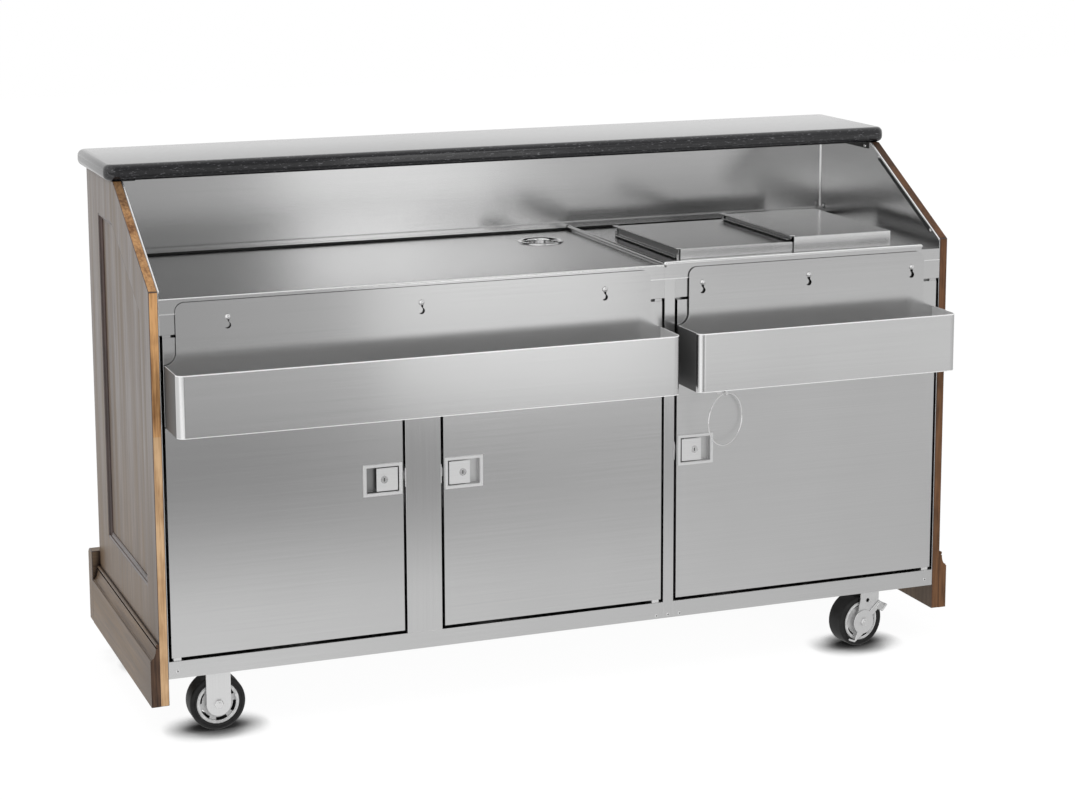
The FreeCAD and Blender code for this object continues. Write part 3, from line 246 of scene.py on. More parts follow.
def lengthwise(along, lengthways, crossways):
    """Three values for X, Y and Z: one for the axis along, and the other for the two across it."""
    return [lengthways if axis == along else crossways for axis in "XYZ"]


STAIN_DARK = (0.132, 0.107, 0.097)
STAIN_PALE = (0.296, 0.268, 0.254)
STAIN_WARM = (0.122, 0.075, 0.031)
WARM_DARK = (0.056, 0.028, 0.009)
WARM_PALE = (0.172, 0.100, 0.038)
WARM_LOW = 0.80
WARM_HEIGHTS = (0.16, 0.70)
WORN = 0.85
WORN_DEPTHS = (-0.30, -0.10)
CORNER_DARK = (0.016, 0.009, 0.007)
CORNER_REACH = 0.020
CORNER_SAMPLES = 8
GRAIN_LONG = 0.24
GRAIN_FINE = 0.010
BOARD_GRAINS = 4
PORE_SHARE = 8


def stained_wood(name, along):
    """Stained wood with its grain along an axis, browner at the foot and darker in corners found by
    occlusion.
    """
    material = new_material(name)
    grain = lengthwise(along, GRAIN_LONG, GRAIN_FINE)
    lines = streaks(material, grain, detail=6.0, rough=0.66)
    colour = ramp(material, lines, [(0.32, STAIN_DARK), (0.62, STAIN_PALE)])
    boards = streaks(material, [size * BOARD_GRAINS for size in grain], detail=3.0, rough=0.6)
    warmth = grey_ramp(material, boards, (0.45, 0.0), (0.66, 0.75))
    colour = mixed(material, warmth, colour, (*STAIN_WARM, 1))
    low_down = spread(material, place_along(material, "Z"), WARM_LOW, 0.0, *WARM_HEIGHTS)
    low_colour = ramp(material, lines, [(0.30, WARM_DARK), (0.64, WARM_PALE)])
    worn = spread(material, place_along(material, "Y"), WORN, 0.0, *WORN_DEPTHS)
    low_colour = mixed(material, worn, low_colour, (*WARM_DARK, 1))
    colour = mixed(material, low_down, colour, low_colour)
    # Corners and creases found by occlusion are made darker.
    corner = shade(material, "AmbientOcclusion", {"samples": CORNER_SAMPLES}, Distance=CORNER_REACH)
    corner_open = grey_ramp(material, corner.outputs["AO"], (0.50, 0.0), (0.86, 1.0))
    colour = mixed(material, corner_open, (*CORNER_DARK, 1), colour)
    pores = streaks(material, [size / PORE_SHARE for size in grain], detail=2.0)
    finish_with(material, Base_Color=colour, Roughness=spread(material, lines, low=0.30, high=0.44),
                Normal=bumped(material, pores, strength=0.25, distance=0.0004), Specular_IOR_Level=0.20)
    return material


EDGE_JOINT = 0.688
JOINT_HALF = 0.0012
MITRE_TONE = 0.22
SLOPE_TONE = 0.74
UPPER_TONE = 0.70
NEAR_TOP_TONE = 0.36
TOP_END_TONE = 0.26
board_points = [point.co for point in frame["nodes"]["left_side_panel"].data.vertices]
board_front = min(point.y for point in board_points)
board_top = max(point.z for point in board_points)
board_kink = max(point.z for point in board_points if point.y < board_front + WELD)


def edge_shade(material, height):
    """Darker wood on the slope, a dark mitre where it starts and a darker end under the slab."""
    start = board_kink - 2 * JOINT_HALF
    share = spread(material, height, 0.0, 1.0, start, board_top)
    mitre = 4 * JOINT_HALF / (board_top - start)
    return grey_ramp(material, share, (0.0, 1.0), (mitre * 0.25, MITRE_TONE), (mitre * 0.75, MITRE_TONE),
                     (mitre, SLOPE_TONE), (0.68, UPPER_TONE), (0.84, NEAR_TOP_TONE), (1.0, TOP_END_TONE))


def bare_wood(name, above, below):
    """Bare edge strips: a dark and a pale colour above the butt joint and another pair below it."""
    material = new_material(name)
    lines = streaks(material, (0.005, 0.007, 0.09), detail=6.0, rough=0.62)
    clouds = streaks(material, (0.06, 0.06, 0.10))
    share = mixed(material, 0.45, lines, clouds)
    upper = ramp(material, share, [(0.36, above[0]), (0.58, above[1])])
    lower = ramp(material, share, [(0.36, below[0]), (0.58, below[1])])
    height = place_along(material, "Z")
    above_joint = spread(material, height, 0.0, 1.0, EDGE_JOINT, EDGE_JOINT + JOINT_HALF)
    colour = mixed(material, above_joint, lower, upper)
    colour = mixed(material, 1.0, colour, edge_shade(material, height), "MULTIPLY")
    pores = streaks(material, (0.0012, 0.0012, 0.012))
    finish_with(material, Base_Color=colour, Roughness=0.58, Specular_IOR_Level=0.25,
                Normal=bumped(material, pores, strength=0.35, distance=0.0004))
    return material


OAK = ((0.190, 0.078, 0.026), (0.620, 0.340, 0.142))
OAK_LOW = ((0.330, 0.185, 0.085), (0.610, 0.400, 0.222))
BROWN = ((0.055, 0.022, 0.009), (0.158, 0.070, 0.030))
BROWN_LOW = ((0.050, 0.021, 0.008), (0.158, 0.073, 0.030))
board_stain = stained_wood("stained board", "Z")
edge_strips = {
    "left": bare_wood("left edge strip", OAK, OAK_LOW),
    "right": bare_wood("right edge strip", BROWN, BROWN_LOW),
}

BEAD_DARK = (0.026, 0.013, 0.010)
BEAD_PALE = (0.070, 0.038, 0.030)
BEAD_WIDE = 0.012
BEAD_TALL = 0.0084
BEAD_COVE_STEPS = 4
bead_stain = new_material("dark stained bead")
bead_lines = streaks(bead_stain, (0.01, 0.03, 0.09), detail=4.0)
finish_with(bead_stain, Base_Color=ramp(bead_stain, bead_lines, [(0.35, BEAD_DARK), (0.68, BEAD_PALE)]),
            Roughness=0.32, Coat_Weight=0.3, Coat_Roughness=0.2)

ogee = [(0, 0), (0, 1), (0.22, 1), (0.32, 0.86)]
ogee += [(0.35 + 0.13 * n, 0.62 - 0.15 * n + 0.012 * n * n) for n in range(BEAD_COVE_STEPS)]
ogee += [(1, 0.16), (1, 0)]
bead_profile = [(BEAD_WIDE * inset, BEAD_TALL * rise) for inset, rise in ogee]


def carried_round(corners, outward, profile):
    """Points and faces of a closed profile, in steps in and out, round a loop with mitred corners."""
    points, faces = [], []
    around = len(corners)
    deep = len(profile)
    for n in range(around):
        before = outward.cross((corners[n] - corners[n - 1]).normalized())
        after = outward.cross((corners[(n + 1) % around] - corners[n]).normalized())
        mitre = (before + after) / (1 + before.dot(after))
        points += [corners[n] + mitre * inset + outward * rise for inset, rise in profile]
        for k in range(deep):
            here, there = n * deep, (n + 1) % around * deep
            faces.append((here + k, there + k, there + (k + 1) % deep, here + (k + 1) % deep))
    return points, faces


# How closely a face looks along a direction, as the cosine of the angle between them.
SQUARELY = 0.9


def field_bead(panel, name, outward):
    """A dark ogee bead round each sunk field of a panel."""
    floors = [face for face in panel.data.polygons if face.normal.dot(outward) > SQUARELY]
    lowest = min(face.center.dot(outward) for face in floors)
    sunk = [face for face in floors if face.center.dot(outward) < lowest + BEAD_TALL / 2]
    loops = [[panel.data.vertices[n].co.copy() for n in face.vertices] for face in sunk]
    beads = [carried_round(corners, outward, bead_profile) for corners in loops]
    added(built(name, *joined(beads), bead_stain), "cart")


BOARD_EASE = 0.0012
FRONT_FACING = -0.35
slab_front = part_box("bar_top")[0].y
for side, outward in (("left", Vector((-1, 0, 0))), ("right", Vector((1, 0, 0)))):
    panel = cleaned(f"{side}_side_panel", f"{side}_side_board", board_stain)
    for face in panel.data.polygons:
        if face.normal.y < FRONT_FACING and face.center.y < slab_front:
            face.material_index = coat_number(panel, edge_strips[side])
    field_bead(panel, f"{side}_field_bead", outward)
    ease_edges(panel, BOARD_EASE, bead_stain)
    stand_for(panel, f"{side}_side_panel")

# Customer panel: the same stained wood with three sunk fields and the same beads.
# The side boards are glued to its ends.
customer_stain = stained_wood("stained customer panel", "Z")
customer = cleaned("customer_panel", "customer_panel_board", customer_stain)
field_bead(customer, "customer_field_beads", Vector((0, 1, 0)))
ease_edges(customer, BOARD_EASE, bead_stain)
stand_for(customer, "customer_panel")

# Base mouldings: stained boards along the foot, glued and pinned to the panels.
# The side ones are milled with a round bead, a cove and a fillet above a plain plinth,
# and their sawn front ends and bare backs are brown.
MOULDING_EASE = 0.0018
CAP_TALL = 0.036
NOSE = 0.004
NOSE_OUT = 0.003
GROOVE_DOWN = 0.0095
COVE_OUT = 0.0072
FILLET = 0.0025
ARC_STEPS = 8


def quarter(middle, wide, tall, start):
    """A quarter of an ellipse in steps, from an angle in degrees, turning clockwise."""
    turns = [math.radians(start - 90 * n / ARC_STEPS) for n in range(ARC_STEPS + 1)]
    return [(middle[0] + wide * math.cos(turn), middle[1] + tall * math.sin(turn)) for turn in turns]


def prism_between(low, high, outline, axis):
    """Points and faces of a flat outline pushed from low to high along an axis given by its index."""
    count = len(outline)
    points = []
    for level in (low, high):
        for first, second in outline:
            place = [first, second]
            place.insert(axis, level)
            points.append(Vector(place))
    sides = [(n, (n + 1) % count, (n + 1) % count + count, n + count) for n in range(count)]
    return points, [tuple(range(count)), tuple(range(count, 2 * count))] + sides


SAWN = ((0.016, 0.009, 0.006), (0.092, 0.050, 0.030))
sawn_ends = {"left": bare_wood("left sawn end", SAWN, SAWN), "right": edge_strips["right"]}
skirt_stain = stained_wood("stained side moulding", "Y")
for side, outward in (("left", -1), ("right", 1)):
    low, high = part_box(f"{side}_base_moulding")
    seat = high.x if side == "left" else low.x
    nose = (NOSE_OUT, high.z - NOSE)
    groove = high.z - GROOVE_DOWN
    plinth = high.z - CAP_TALL
    thick = high.x - low.x
    crown = thick - FILLET
    profile = [(0, low.z), (0, high.z)]
    profile += quarter(nose, NOSE, NOSE, 90) + quarter(nose, NOSE, NOSE, 0)
    profile += [(NOSE_OUT, groove), (COVE_OUT, groove)]
    profile += quarter((crown, groove), COVE_OUT - crown, plinth + FILLET - groove, 90)[::-1]
    profile += [(crown, plinth)] + quarter((crown, plinth - FILLET), FILLET, FILLET, 90)
    profile += [(thick, low.z)]
    outline = [(seat + outward * out, up) for out, up in profile]
    skirt = built(f"{side}_base_moulding_board", *prism_between(low.y, high.y, outline, 1), skirt_stain)
    for face in skirt.data.polygons:
        if face.normal.y < FRONT_FACING or face.normal.x * outward < -SQUARELY:
            face.material_index = coat_number(skirt, sawn_ends[side])
    stand_for(skirt, f"{side}_base_moulding")
guest_stain = stained_wood("stained customer moulding", "X")
guest_skirt = cleaned("customer_base_moulding", "customer_base_moulding_board", guest_stain)
ease_edges(guest_skirt, MOULDING_EASE, bead_stain)
stand_for(guest_skirt, "customer_base_moulding")

# Bar top: one slab of dark stone-look solid surface with full rounded edges.
# It is polished, with fine pale flecks that run along it, and glued over the wooden panels.
SLAB_DARK = (0.006, 0.006, 0.007)
SLAB_MID = (0.014, 0.014, 0.016)
SLAB_FLECK = (0.16, 0.16, 0.17)
slab = new_material("speckled slab")
slab_clouds = streaks(slab, (0.030, 0.012, 0.005), detail=4.0, rough=0.7)
slab_colour = ramp(slab, slab_clouds, [(0.35, SLAB_DARK), (0.70, SLAB_MID)])
flecks = streaks(slab, (0.012, 0.004, 0.0022), detail=3.0, rough=0.6)
fleck_share = grey_ramp(slab, flecks, (0.60, 0.0), (0.74, 1.0))
slab_colour = mixed(slab, fleck_share, slab_colour, (*SLAB_FLECK, 1))
finish_with(slab, Base_Color=slab_colour, Roughness=0.13, IOR=1.52, Coat_Weight=0.3, Coat_Roughness=0.05)
stand_for(cleaned("bar_top", "bar_top_slab", slab), "bar_top")

# Side liners: brushed stainless sheets that line the wood and close the cabinet's sides.
# Above the worktop their sloped edge is folded to a safe hem with pan head screws beside it; a dark strip
# beside the hem is a painted reflection of the hem's shaded back, dark rings under the screws are painted
# shadow, and a dark angle bracket ties each liner to the bar top.
STEEL = 0.64
EDGE_HIGHLIGHT_TONE = 0.76
SHEET_EASE = 0.0005
BRUSH_LONG = 0.45
BRUSH_FINE = 0.0012
BRUSH_SHARE = 0.25
CLOUD = 0.35
ROUGH_VARIES = 0.03


def brushed_steel(name, along, tone=STEEL, rough=0.18):
    """Brushed stainless, with the brush lines along X, Y or Z; reflections smear across them."""
    material = new_material(name)
    lines = streaks(material, lengthwise(along, BRUSH_LONG, BRUSH_FINE), detail=3.0, rough=0.6)
    clouds = streaks(material, (CLOUD,) * 3, detail=2.0)
    smear = shade(material, "CombineXYZ")
    for axis, share in zip("XYZ", lengthwise(along, 0.0, 1.0)):
        smear.inputs[axis].default_value = share
    clouded = grey_ramp(material, clouds, (0.3, tone * 0.97), (0.7, tone * 1.02))
    scratched = grey_ramp(material, lines, (0.3, tone * 0.85), (0.7, tone * 1.12))
    finish_with(material, Base_Color=mixed(material, BRUSH_SHARE, clouded, scratched), Metallic=1.0,
                Roughness=spread(material, lines, rough - ROUGH_VARIES, rough + ROUGH_VARIES),
                Anisotropic=0.4, Tangent=smear.outputs["Vector"])
    return material


steel_along = brushed_steel("brushed steel lengthwise", "X")
steel_across = brushed_steel("brushed steel crosswise", "Y")
steel_upright = brushed_steel("brushed steel upright", "Z")
# Eased sheet edges, painted brighter than the sheet as a highlight.
edge_highlight_steel = brushed_steel("sheet edge painted bright as highlight", "X", tone=EDGE_HIGHLIGHT_TONE, rough=0.22)


def sheet(node, steel, ease=SHEET_EASE):
    """A folded sheet piece with eased edges, painted brighter as a highlight."""
    piece = cleaned(node, f"{node}_sheet", steel)
    if ease:
        ease_edges(piece, ease, edge_highlight_steel)
    stand_for(piece, node)
    return piece


HEAD_STEPS = 12
HEAD_SEAT = 0.0004
HEAD_RIM = 1.02
screw_steel = brushed_steel("bright screw steel", "X", tone=0.78, rough=0.2)
# Brighter steel for hems, screws, rolled edges and lid fronts, painted bright as a highlight.
polished_highlight = brushed_steel("polished fold", "X", tone=0.94, rough=0.24)


def domed_head(place, facing, radius, height, dent):
    """Points and faces of a domed head; dent gives the depth of its recess over the disc of radius 1."""
    turn = facing.to_track_quat("Z", "Y")
    side = 2 * HEAD_STEPS + 1
    points, faces = [], []
    for row in range(side):
        for column in range(side):
            u, v = row / HEAD_STEPS - 1, column / HEAD_STEPS - 1
            x, y = u * math.sqrt(1 - v * v / 2), v * math.sqrt(1 - u * u / 2)
            dome = height * math.sqrt(max(0.0, HEAD_RIM - x * x - y * y))
            points.append(place + turn @ Vector((x * radius, y * radius, dome - dent(x, y))))
            if row and column:
                corner = row * side + column
                faces.append((corner, corner - 1, corner - side - 1, corner - side))
    return points, faces


CROSS_HALF = 0.13
CROSS_REACH = 0.62
CROSS_DEEP = 0.0009


def cross_recess(x, y):
    arm = min(abs(x), abs(y)) < CROSS_HALF and max(abs(x), abs(y)) < CROSS_REACH
    return CROSS_DEEP if arm else 0.0


def heads(name, places, facing, radius, height, dent, material):
    """A set of like screw or rivet heads as one piece."""
    domes = [domed_head(place - facing * HEAD_SEAT, facing, radius, height, dent) for place in places]
    added(built(name, *joined(domes), material), "cart")


def lathed(profile, place, facing, sides, closed=False):
    """Points and faces of a profile of radius and height turned about an axis."""
    turn = facing.to_track_quat("Z", "Y")
    points, faces = [], []
    rows = len(profile)
    for n in range(sides):
        angle = math.tau * n / sides
        for radius, height in profile:
            spot = Vector((radius * math.cos(angle), radius * math.sin(angle), height))
            points.append(place + turn @ spot)
        here, there = n * rows, (n + 1) % sides * rows
        for k in range(rows if closed else rows - 1):
            after = (k + 1) % rows
            faces.append((here + k, there + k, there + after, here + after))
    return points, faces


def pin_profile(radius, height):
    """The profile of a plain round pin or disc."""
    return [(0, 0), (radius, 0), (radius, height), (0, height)]


def mottled(name, grain, dark, pale, **inputs):
    """A dark finish that varies between two tones."""
    material = new_material(name)
    tone = grey_ramp(material, streaks(material, (grain,) * 3), (0.3, dark), (0.7, pale))
    finish_with(material, Base_Color=tone, **inputs)
    return material


def strip_on_wall(name, wall, thick, start, end, into, span, material):
    """A flat strip on an upright wall along a line, between two distances from the line."""
    edges = [start + into * span[0], end + into * span[0], end + into * span[1], start + into * span[1]]
    return built(name, *prism_between(wall, wall + thick, [place.yz for place in edges], 0), material)


SHADE_RING_THICK = 0.0005
SHADE_RING_RADIUS = 0.0068
SHADE_RING_SIDES = 24
SCREW_RADIUS = 0.0048
SCREW_TALL = 0.0030
SCREW_IN = 0.0082
SCREW_FROM_KINK = (0.046, 0.350)
REAR_SCREW = (0.0076, 0.0209)
HEM_THICK = 0.0022
HEM_SPAN = (-0.0005, 0.0045)
SHADE_STRIP_THICK = 0.0006
SHADE_STRIP_SPAN = (0.0060, 0.0165)
FLANGE_WIDE = 0.0035
FLANGE_LOW = 0.018
BRACKET_LONG = 0.034
BRACKET_WIDE = 0.160
BRACKET_SCREW = 0.014
BRACKET_THICK = 0.0025
BRACKET_BACK = 0.016
SPLASH_HEM_PROUD = 0.012
painted_shade_dark = mottled("dark painted shade", 0.003, dark=0.010, pale=0.030, Roughness=0.6)
# Dark paint of the brackets, also used as painted shade on the rivet stems.
bracket_paint_and_rivet_shade = mottled("dark bracket plate and painted rivet shade", 0.004, dark=0.02, pale=0.05, Metallic=0.6, Roughness=0.42)
work_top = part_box("drain_cup")[1].z
splash_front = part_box("backsplash")[0].y
splash_face = splash_front + SPLASH_HEM_PROUD
slab_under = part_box("bar_top")[0].z
for side, inward in (("left", 1), ("right", -1)):
    facing = Vector((inward, 0, 0))
    liner = sheet(f"{side}_liner", steel_across)
    low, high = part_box(f"{side}_liner")
    wall = high.x if side == "left" else low.x
    kink = max((v.co for v in liner.data.vertices if v.co.y < low.y + WELD), key=lambda place: place.z)
    crest = min((v.co for v in liner.data.vertices if v.co.z > high.z - WELD), key=lambda place: place.y)
    slope = (crest - kink).normalized()
    into = Vector((0, slope.z, -slope.y))
    # The hem, its screws and the corner flange are painted bright as a highlight.
    hem = strip_on_wall(f"{side}_liner_hem", wall, inward * HEM_THICK, kink, crest, into, HEM_SPAN, polished_highlight)
    ease_edges(hem, HEM_THICK / 3)
    added(hem, "cart")
    foot, tip = [kink + slope * along for along in SCREW_FROM_KINK]
    # A dark strip beside the hem, painted as the hem's shaded back seen reflected in the liner.
    shade_strip = strip_on_wall(f"{side}_liner_shade_strip", wall, inward * SHADE_STRIP_THICK, foot, tip, into, SHADE_STRIP_SPAN,
                         painted_shade_dark)
    added(shade_strip, "cart")
    screws = [foot + into * SCREW_IN, tip + into * SCREW_IN]
    screws.append(Vector((wall, splash_front - REAR_SCREW[0], work_top + REAR_SCREW[1])))
    for place in screws:
        place.x = wall
    heads(f"{side}_liner_screws", screws, facing, SCREW_RADIUS, SCREW_TALL, cross_recess, polished_highlight)
    # Dark rings under the screws, painted as their shadow.
    disc = pin_profile(SHADE_RING_RADIUS, SHADE_RING_THICK)
    shade_rings = [lathed(disc, place, facing, SHADE_RING_SIDES) for place in screws]
    added(built(f"{side}_liner_shade_rings", *joined(shade_rings), painted_shade_dark), "cart")
    flange_line = [(wall, splash_face), (wall + inward * FLANGE_WIDE, splash_face),
                   (wall + inward * FLANGE_WIDE / 3, splash_face - FLANGE_WIDE * 2 / 3),
                   (wall, splash_face - FLANGE_WIDE)]
    flange_shape = prism_between(work_top + FLANGE_LOW, slab_under, flange_line, 2)
    added(built(f"{side}_splash_flange", *flange_shape, polished_highlight), "cart")
    bracket_front = crest.y + BRACKET_BACK
    bracket_skin = wall + inward * BRACKET_THICK
    bracket_tip = wall + inward * BRACKET_LONG
    bracket_foot = slab_under - BRACKET_LONG / 2
    angle_line = [(wall, slab_under), (wall, bracket_foot), (bracket_skin, bracket_foot),
                  (bracket_skin, slab_under - BRACKET_THICK), (bracket_tip, slab_under - BRACKET_THICK),
                  (bracket_tip, slab_under)]
    angle_shape = prism_between(bracket_front, bracket_front + BRACKET_WIDE, angle_line, 1)
    bracket = built(f"{side}_top_bracket", *angle_shape, bracket_paint_and_rivet_shade)
    ease_edges(bracket, BRACKET_THICK / 4)
    added(bracket, "cart")
    bracket_screw = Vector((bracket_skin, bracket_front + BRACKET_SCREW, slab_under - BRACKET_LONG / 3))
    heads(f"{side}_bracket_screw", [bracket_screw], facing, SCREW_RADIUS, SCREW_TALL, cross_recess, polished_highlight)

# Backsplash and cabinet back: stainless sheets behind the worktop and the cabinet.
# The backsplash ends in a thick folded hem over an open slot, and both are riveted to the liners.
# What shows through the slot is the sheet behind it; it and the hem roll's underside are painted near black
# as shade.
SPLASH_HEM_LOW = 0.0095
SPLASH_HEM_FOOT = 0.0105
ROLL_TALL = 0.0050
ROLL_ROUND = 0.0018
MOSTLY = 0.5
unlit_steel = brushed_steel("unlit steel", "X", tone=0.05, rough=0.4)
sheet("cabinet_back", steel_along)
backsplash = sheet("backsplash", steel_along)
for face in backsplash.data.polygons:
    if face.center.z < work_top + SPLASH_HEM_LOW and face.normal.y < MOSTLY:
        face.material_index = coat_number(backsplash, unlit_steel)
splash_low, splash_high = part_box("backsplash")
roll_top = splash_low.z + SPLASH_HEM_FOOT
roll_foot = roll_top - ROLL_TALL
roll_line = [(splash_front, roll_top), (splash_face, roll_top), (splash_face, roll_foot),
             (splash_front + ROLL_ROUND, roll_foot), (splash_front, roll_foot + ROLL_ROUND)]
roll = built("backsplash_hem_roll", *prism_between(splash_low.x, splash_high.x, roll_line, 0), steel_along)
for face in roll.data.polygons:
    if face.normal.z < -SQUARELY:
        face.material_index = coat_number(roll, unlit_steel)
added(roll, "cart")

# Worktop and ice deck: folded stainless tops with a rolled front edge and a raised bead.
# They are welded to the header, and the ice bin hangs under the deck's opening.
TOP_EASE = 0.0008
LIP_TALL = 0.0024
LIP_SHOULDER = 0.00168
LIP_PROUD = 0.0011
DECK_BEAD = 0.003
ROLL_DEEP = 0.01
for node, rolled_above in (("worktop", work_top), ("ice_deck", work_top + DECK_BEAD)):
    top = sheet(node, steel_along, TOP_EASE)
    low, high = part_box(node)
    # The rolled front edge and the lip hem below it are painted bright as a highlight.
    for face in top.data.polygons:
        if face.center.z > rolled_above and face.center.y < low.y + ROLL_DEEP:
            face.material_index = coat_number(top, polished_highlight)
    lip_front = low.y - LIP_PROUD
    lip_line = [(low.y, low.z), (lip_front, low.z), (lip_front, low.z + LIP_SHOULDER),
                (low.y, low.z + LIP_TALL)]
    lip = built(f"{node}_lip_hem", *prism_between(low.x, high.x, lip_line, 0), polished_highlight)
    added(lip, "cart")
sheet("ice_bin", steel_upright)

# Ice bin lids: shallow folded stainless pans with C-shaped finger pulls at their ends.
# They lie loose on the deck and slide past each other, the right one over the left one.
PULL_DEEP = 0.012
shadow_steel = brushed_steel("steel in shade", "X", tone=0.30, rough=0.4)
for node in ("lower_lid", "upper_lid"):
    lid = sheet(node, steel_along, TOP_EASE)
    low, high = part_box(node)
    # The webs of the pulls are painted in shade, and the front faces are painted bright as a highlight.
    for face in lid.data.polygons:
        if face.normal.x < -MOSTLY and PULL_DEEP / 2 < face.center.x - low.x < PULL_DEEP * 2:
            face.material_index = coat_number(lid, shadow_steel)
        elif face.normal.y < -SQUARELY:
            face.material_index = coat_number(lid, polished_highlight)

# Drain: a bright spun stainless cup with a rounded flange, dropped into the worktop,
# and a punched strainer with a lifting knob that stands loose in it.
DRAIN_SIDES = 96
DRAIN_WALL = 0.0025
DRAIN_BORE = 0.0435
DRAIN_LIP = 0.004
DRAIN_LIP_TALL = 0.006
DRAIN_FLANGE = 0.003
DRAIN_DEEP = 0.058
DRAIN_CORNER = ((0.006, 0.0), (0.002, 0.002), (0.0, 0.006))
OUTLET = 0.0165
STRAINER_EASE = 0.0006
UPWARD = Vector((0, 0, 1))
bright = brushed_steel("bright hardware", "Z", tone=0.86, rough=0.10)
low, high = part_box("drain_cup")
drain_middle = Vector(((low.x + high.x) / 2, (low.y + high.y) / 2, high.z))
flange_edge = (high.x - low.x) / 2 - DRAIN_FLANGE
outlet_foot = low.z - high.z
cup = quarter((DRAIN_BORE + DRAIN_LIP, -DRAIN_LIP_TALL), DRAIN_LIP, DRAIN_LIP_TALL, 180)
cup += quarter((flange_edge, -DRAIN_FLANGE), DRAIN_FLANGE, DRAIN_FLANGE, 90)
cup += [(DRAIN_BORE + DRAIN_WALL, -DRAIN_FLANGE), (DRAIN_BORE + DRAIN_WALL, -DRAIN_DEEP)]
cup += [(OUTLET, -DRAIN_DEEP - DRAIN_WALL), (OUTLET, outlet_foot)]
cup += [(OUTLET - DRAIN_WALL, outlet_foot), (OUTLET - DRAIN_WALL, -DRAIN_DEEP)]
cup += [(DRAIN_BORE - inset, rise - DRAIN_DEEP) for inset, rise in DRAIN_CORNER]
cup_shape = lathed(cup, drain_middle, UPWARD, DRAIN_SIDES, True)
stand_for(built("drain_cup_spun", *cup_shape, bright), "drain_cup")
sheet("drain_strainer", bright, STRAINER_EASE)

# Frame of the cabinet: header, stile and post are folded stainless channels, floor and divider
# plain sheets. Front and rear rails with the caster carriers make the base, closed with blind rivets.
for node in ("header", "front_rail", "rear_rail", "cabinet_floor", "caster_carriers"):
    sheet(node, steel_along)
for node in ("centre_stile", "divider_post", "divider"):
    sheet(node, steel_upright)
RIVET_END = 0.019
RIVET_UP = 0.016
RIVET_OFF = 0.017
RIVET_RADIUS = 0.0044
RIVET_TALL = 0.0013
RIVET_BORE = 0.34
RIVET_DEEP = 0.0010
STEM_RADIUS = 0.0022
STEM_OUT = 0.0006
STEM_SIDES = 16
FORWARD = Vector((0, -1, 0))


def rivet_dimple(x, y):
    return RIVET_DEEP if math.hypot(x, y) < RIVET_BORE else 0.0


rail_low, rail_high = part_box("front_rail")
post_low, post_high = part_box("divider_post")
end_rivets = (rail_low.x + RIVET_END, rail_high.x - RIVET_END)
post_rivets = (post_low.x - RIVET_OFF, (post_low.x + post_high.x) / 2, post_high.x + RIVET_OFF)
rivets = [Vector((along, rail_low.y, rail_low.z + RIVET_UP)) for along in end_rivets]
rivets += [Vector((along, rail_low.y, rail_low.z + RIVET_UP / 2)) for along in post_rivets]
heads("front_rail_rivets", rivets, FORWARD, RIVET_RADIUS, RIVET_TALL, rivet_dimple, screw_steel)
# The rivet stems are painted dark as the shade in each rivet's bore.
stem = pin_profile(STEM_RADIUS, STEM_OUT)
stems = [lathed(stem, place, FORWARD, STEM_SIDES) for place in rivets]
added(built("front_rail_rivet_stems", *joined(stems), bracket_paint_and_rivet_shade), "cart")

# Doors and upper panels: stainless pans with folded edges, hung on pivot pins in small blocks.
# The upper panels close the same outline behind the speed rails and stay fixed.
SMALL_EASE = 0.0004
door_steel = brushed_steel("brushed door steel", "X", tone=STEEL, rough=0.30)
for node in ("left_door", "middle_door", "upper_panels"):
    sheet(node, steel_along)
sheet("right_door", door_steel)
latch_steel = brushed_steel("satin latch steel", "X", tone=0.84, rough=0.42)
sheet("door_pivots", latch_steel, SMALL_EASE)

# Latches: a pressed steel tray with a raised rim, a square paddle on a hidden pin with a key cylinder,
# and a flat bolt behind it that slides past the strike on the stile or post.
RIM_FOOT = (0.0004, 0.0072)
RIM_CREST = (0.0009, 0.0064)
RIM_TALL = 0.0012
PADDLE_THICK = 0.0028
PADDLE_EASE = 0.0008
PADDLE_GAP = 0.0012
PIN_IN = 0.004
KNUCKLE = 0.0039
KNUCKLE_SHOWS = 0.0024
KNUCKLE_BACK = 0.001
LOCK_FROM_PIN = 0.030
LOCK_SIDES = 48
LOCK_FACE = 0.0010
LOCK_PLUG = 0.0052
LOCK_GROOVE = (0.0056, 0.0066)
LOCK_GROOVE_FLOOR = 0.0002
LOCK_COLLAR = (0.0070, 0.0084)
LOCK_COLLAR_TALL = 0.0016
LOCK_SHOULDER = 0.0090
LOCK_RADIUS = 0.0092
LOCK_SEAT = 0.0004
KEY_WIDE = 0.0020
KEY_TALL = 0.0078
KEY_PROUD = 0.0002
STRIKE_EASE = 0.0003
lit_steel = brushed_steel("tray steel in light", "X", tone=0.62, rough=0.4)
gap_black = mottled("shaded gap", 0.004, dark=0.006, pale=0.014, Roughness=0.7)
rim = [(RIM_FOOT[0], 0), (RIM_CREST[0], RIM_TALL), (RIM_CREST[1], RIM_TALL), (RIM_FOOT[1], 0)]
lock_ring = [(0, LOCK_FACE), (LOCK_PLUG, LOCK_FACE)]
lock_ring += [(radius, LOCK_GROOVE_FLOOR) for radius in LOCK_GROOVE]
lock_ring += [(radius, LOCK_COLLAR_TALL) for radius in LOCK_COLLAR]
lock_ring += [(LOCK_SHOULDER, LOCK_COLLAR_TALL / 2), (LOCK_RADIUS, -LOCK_SEAT)]


def rectangle(left, right, low, high):
    return [(left, low), (right, low), (right, high), (left, high)]


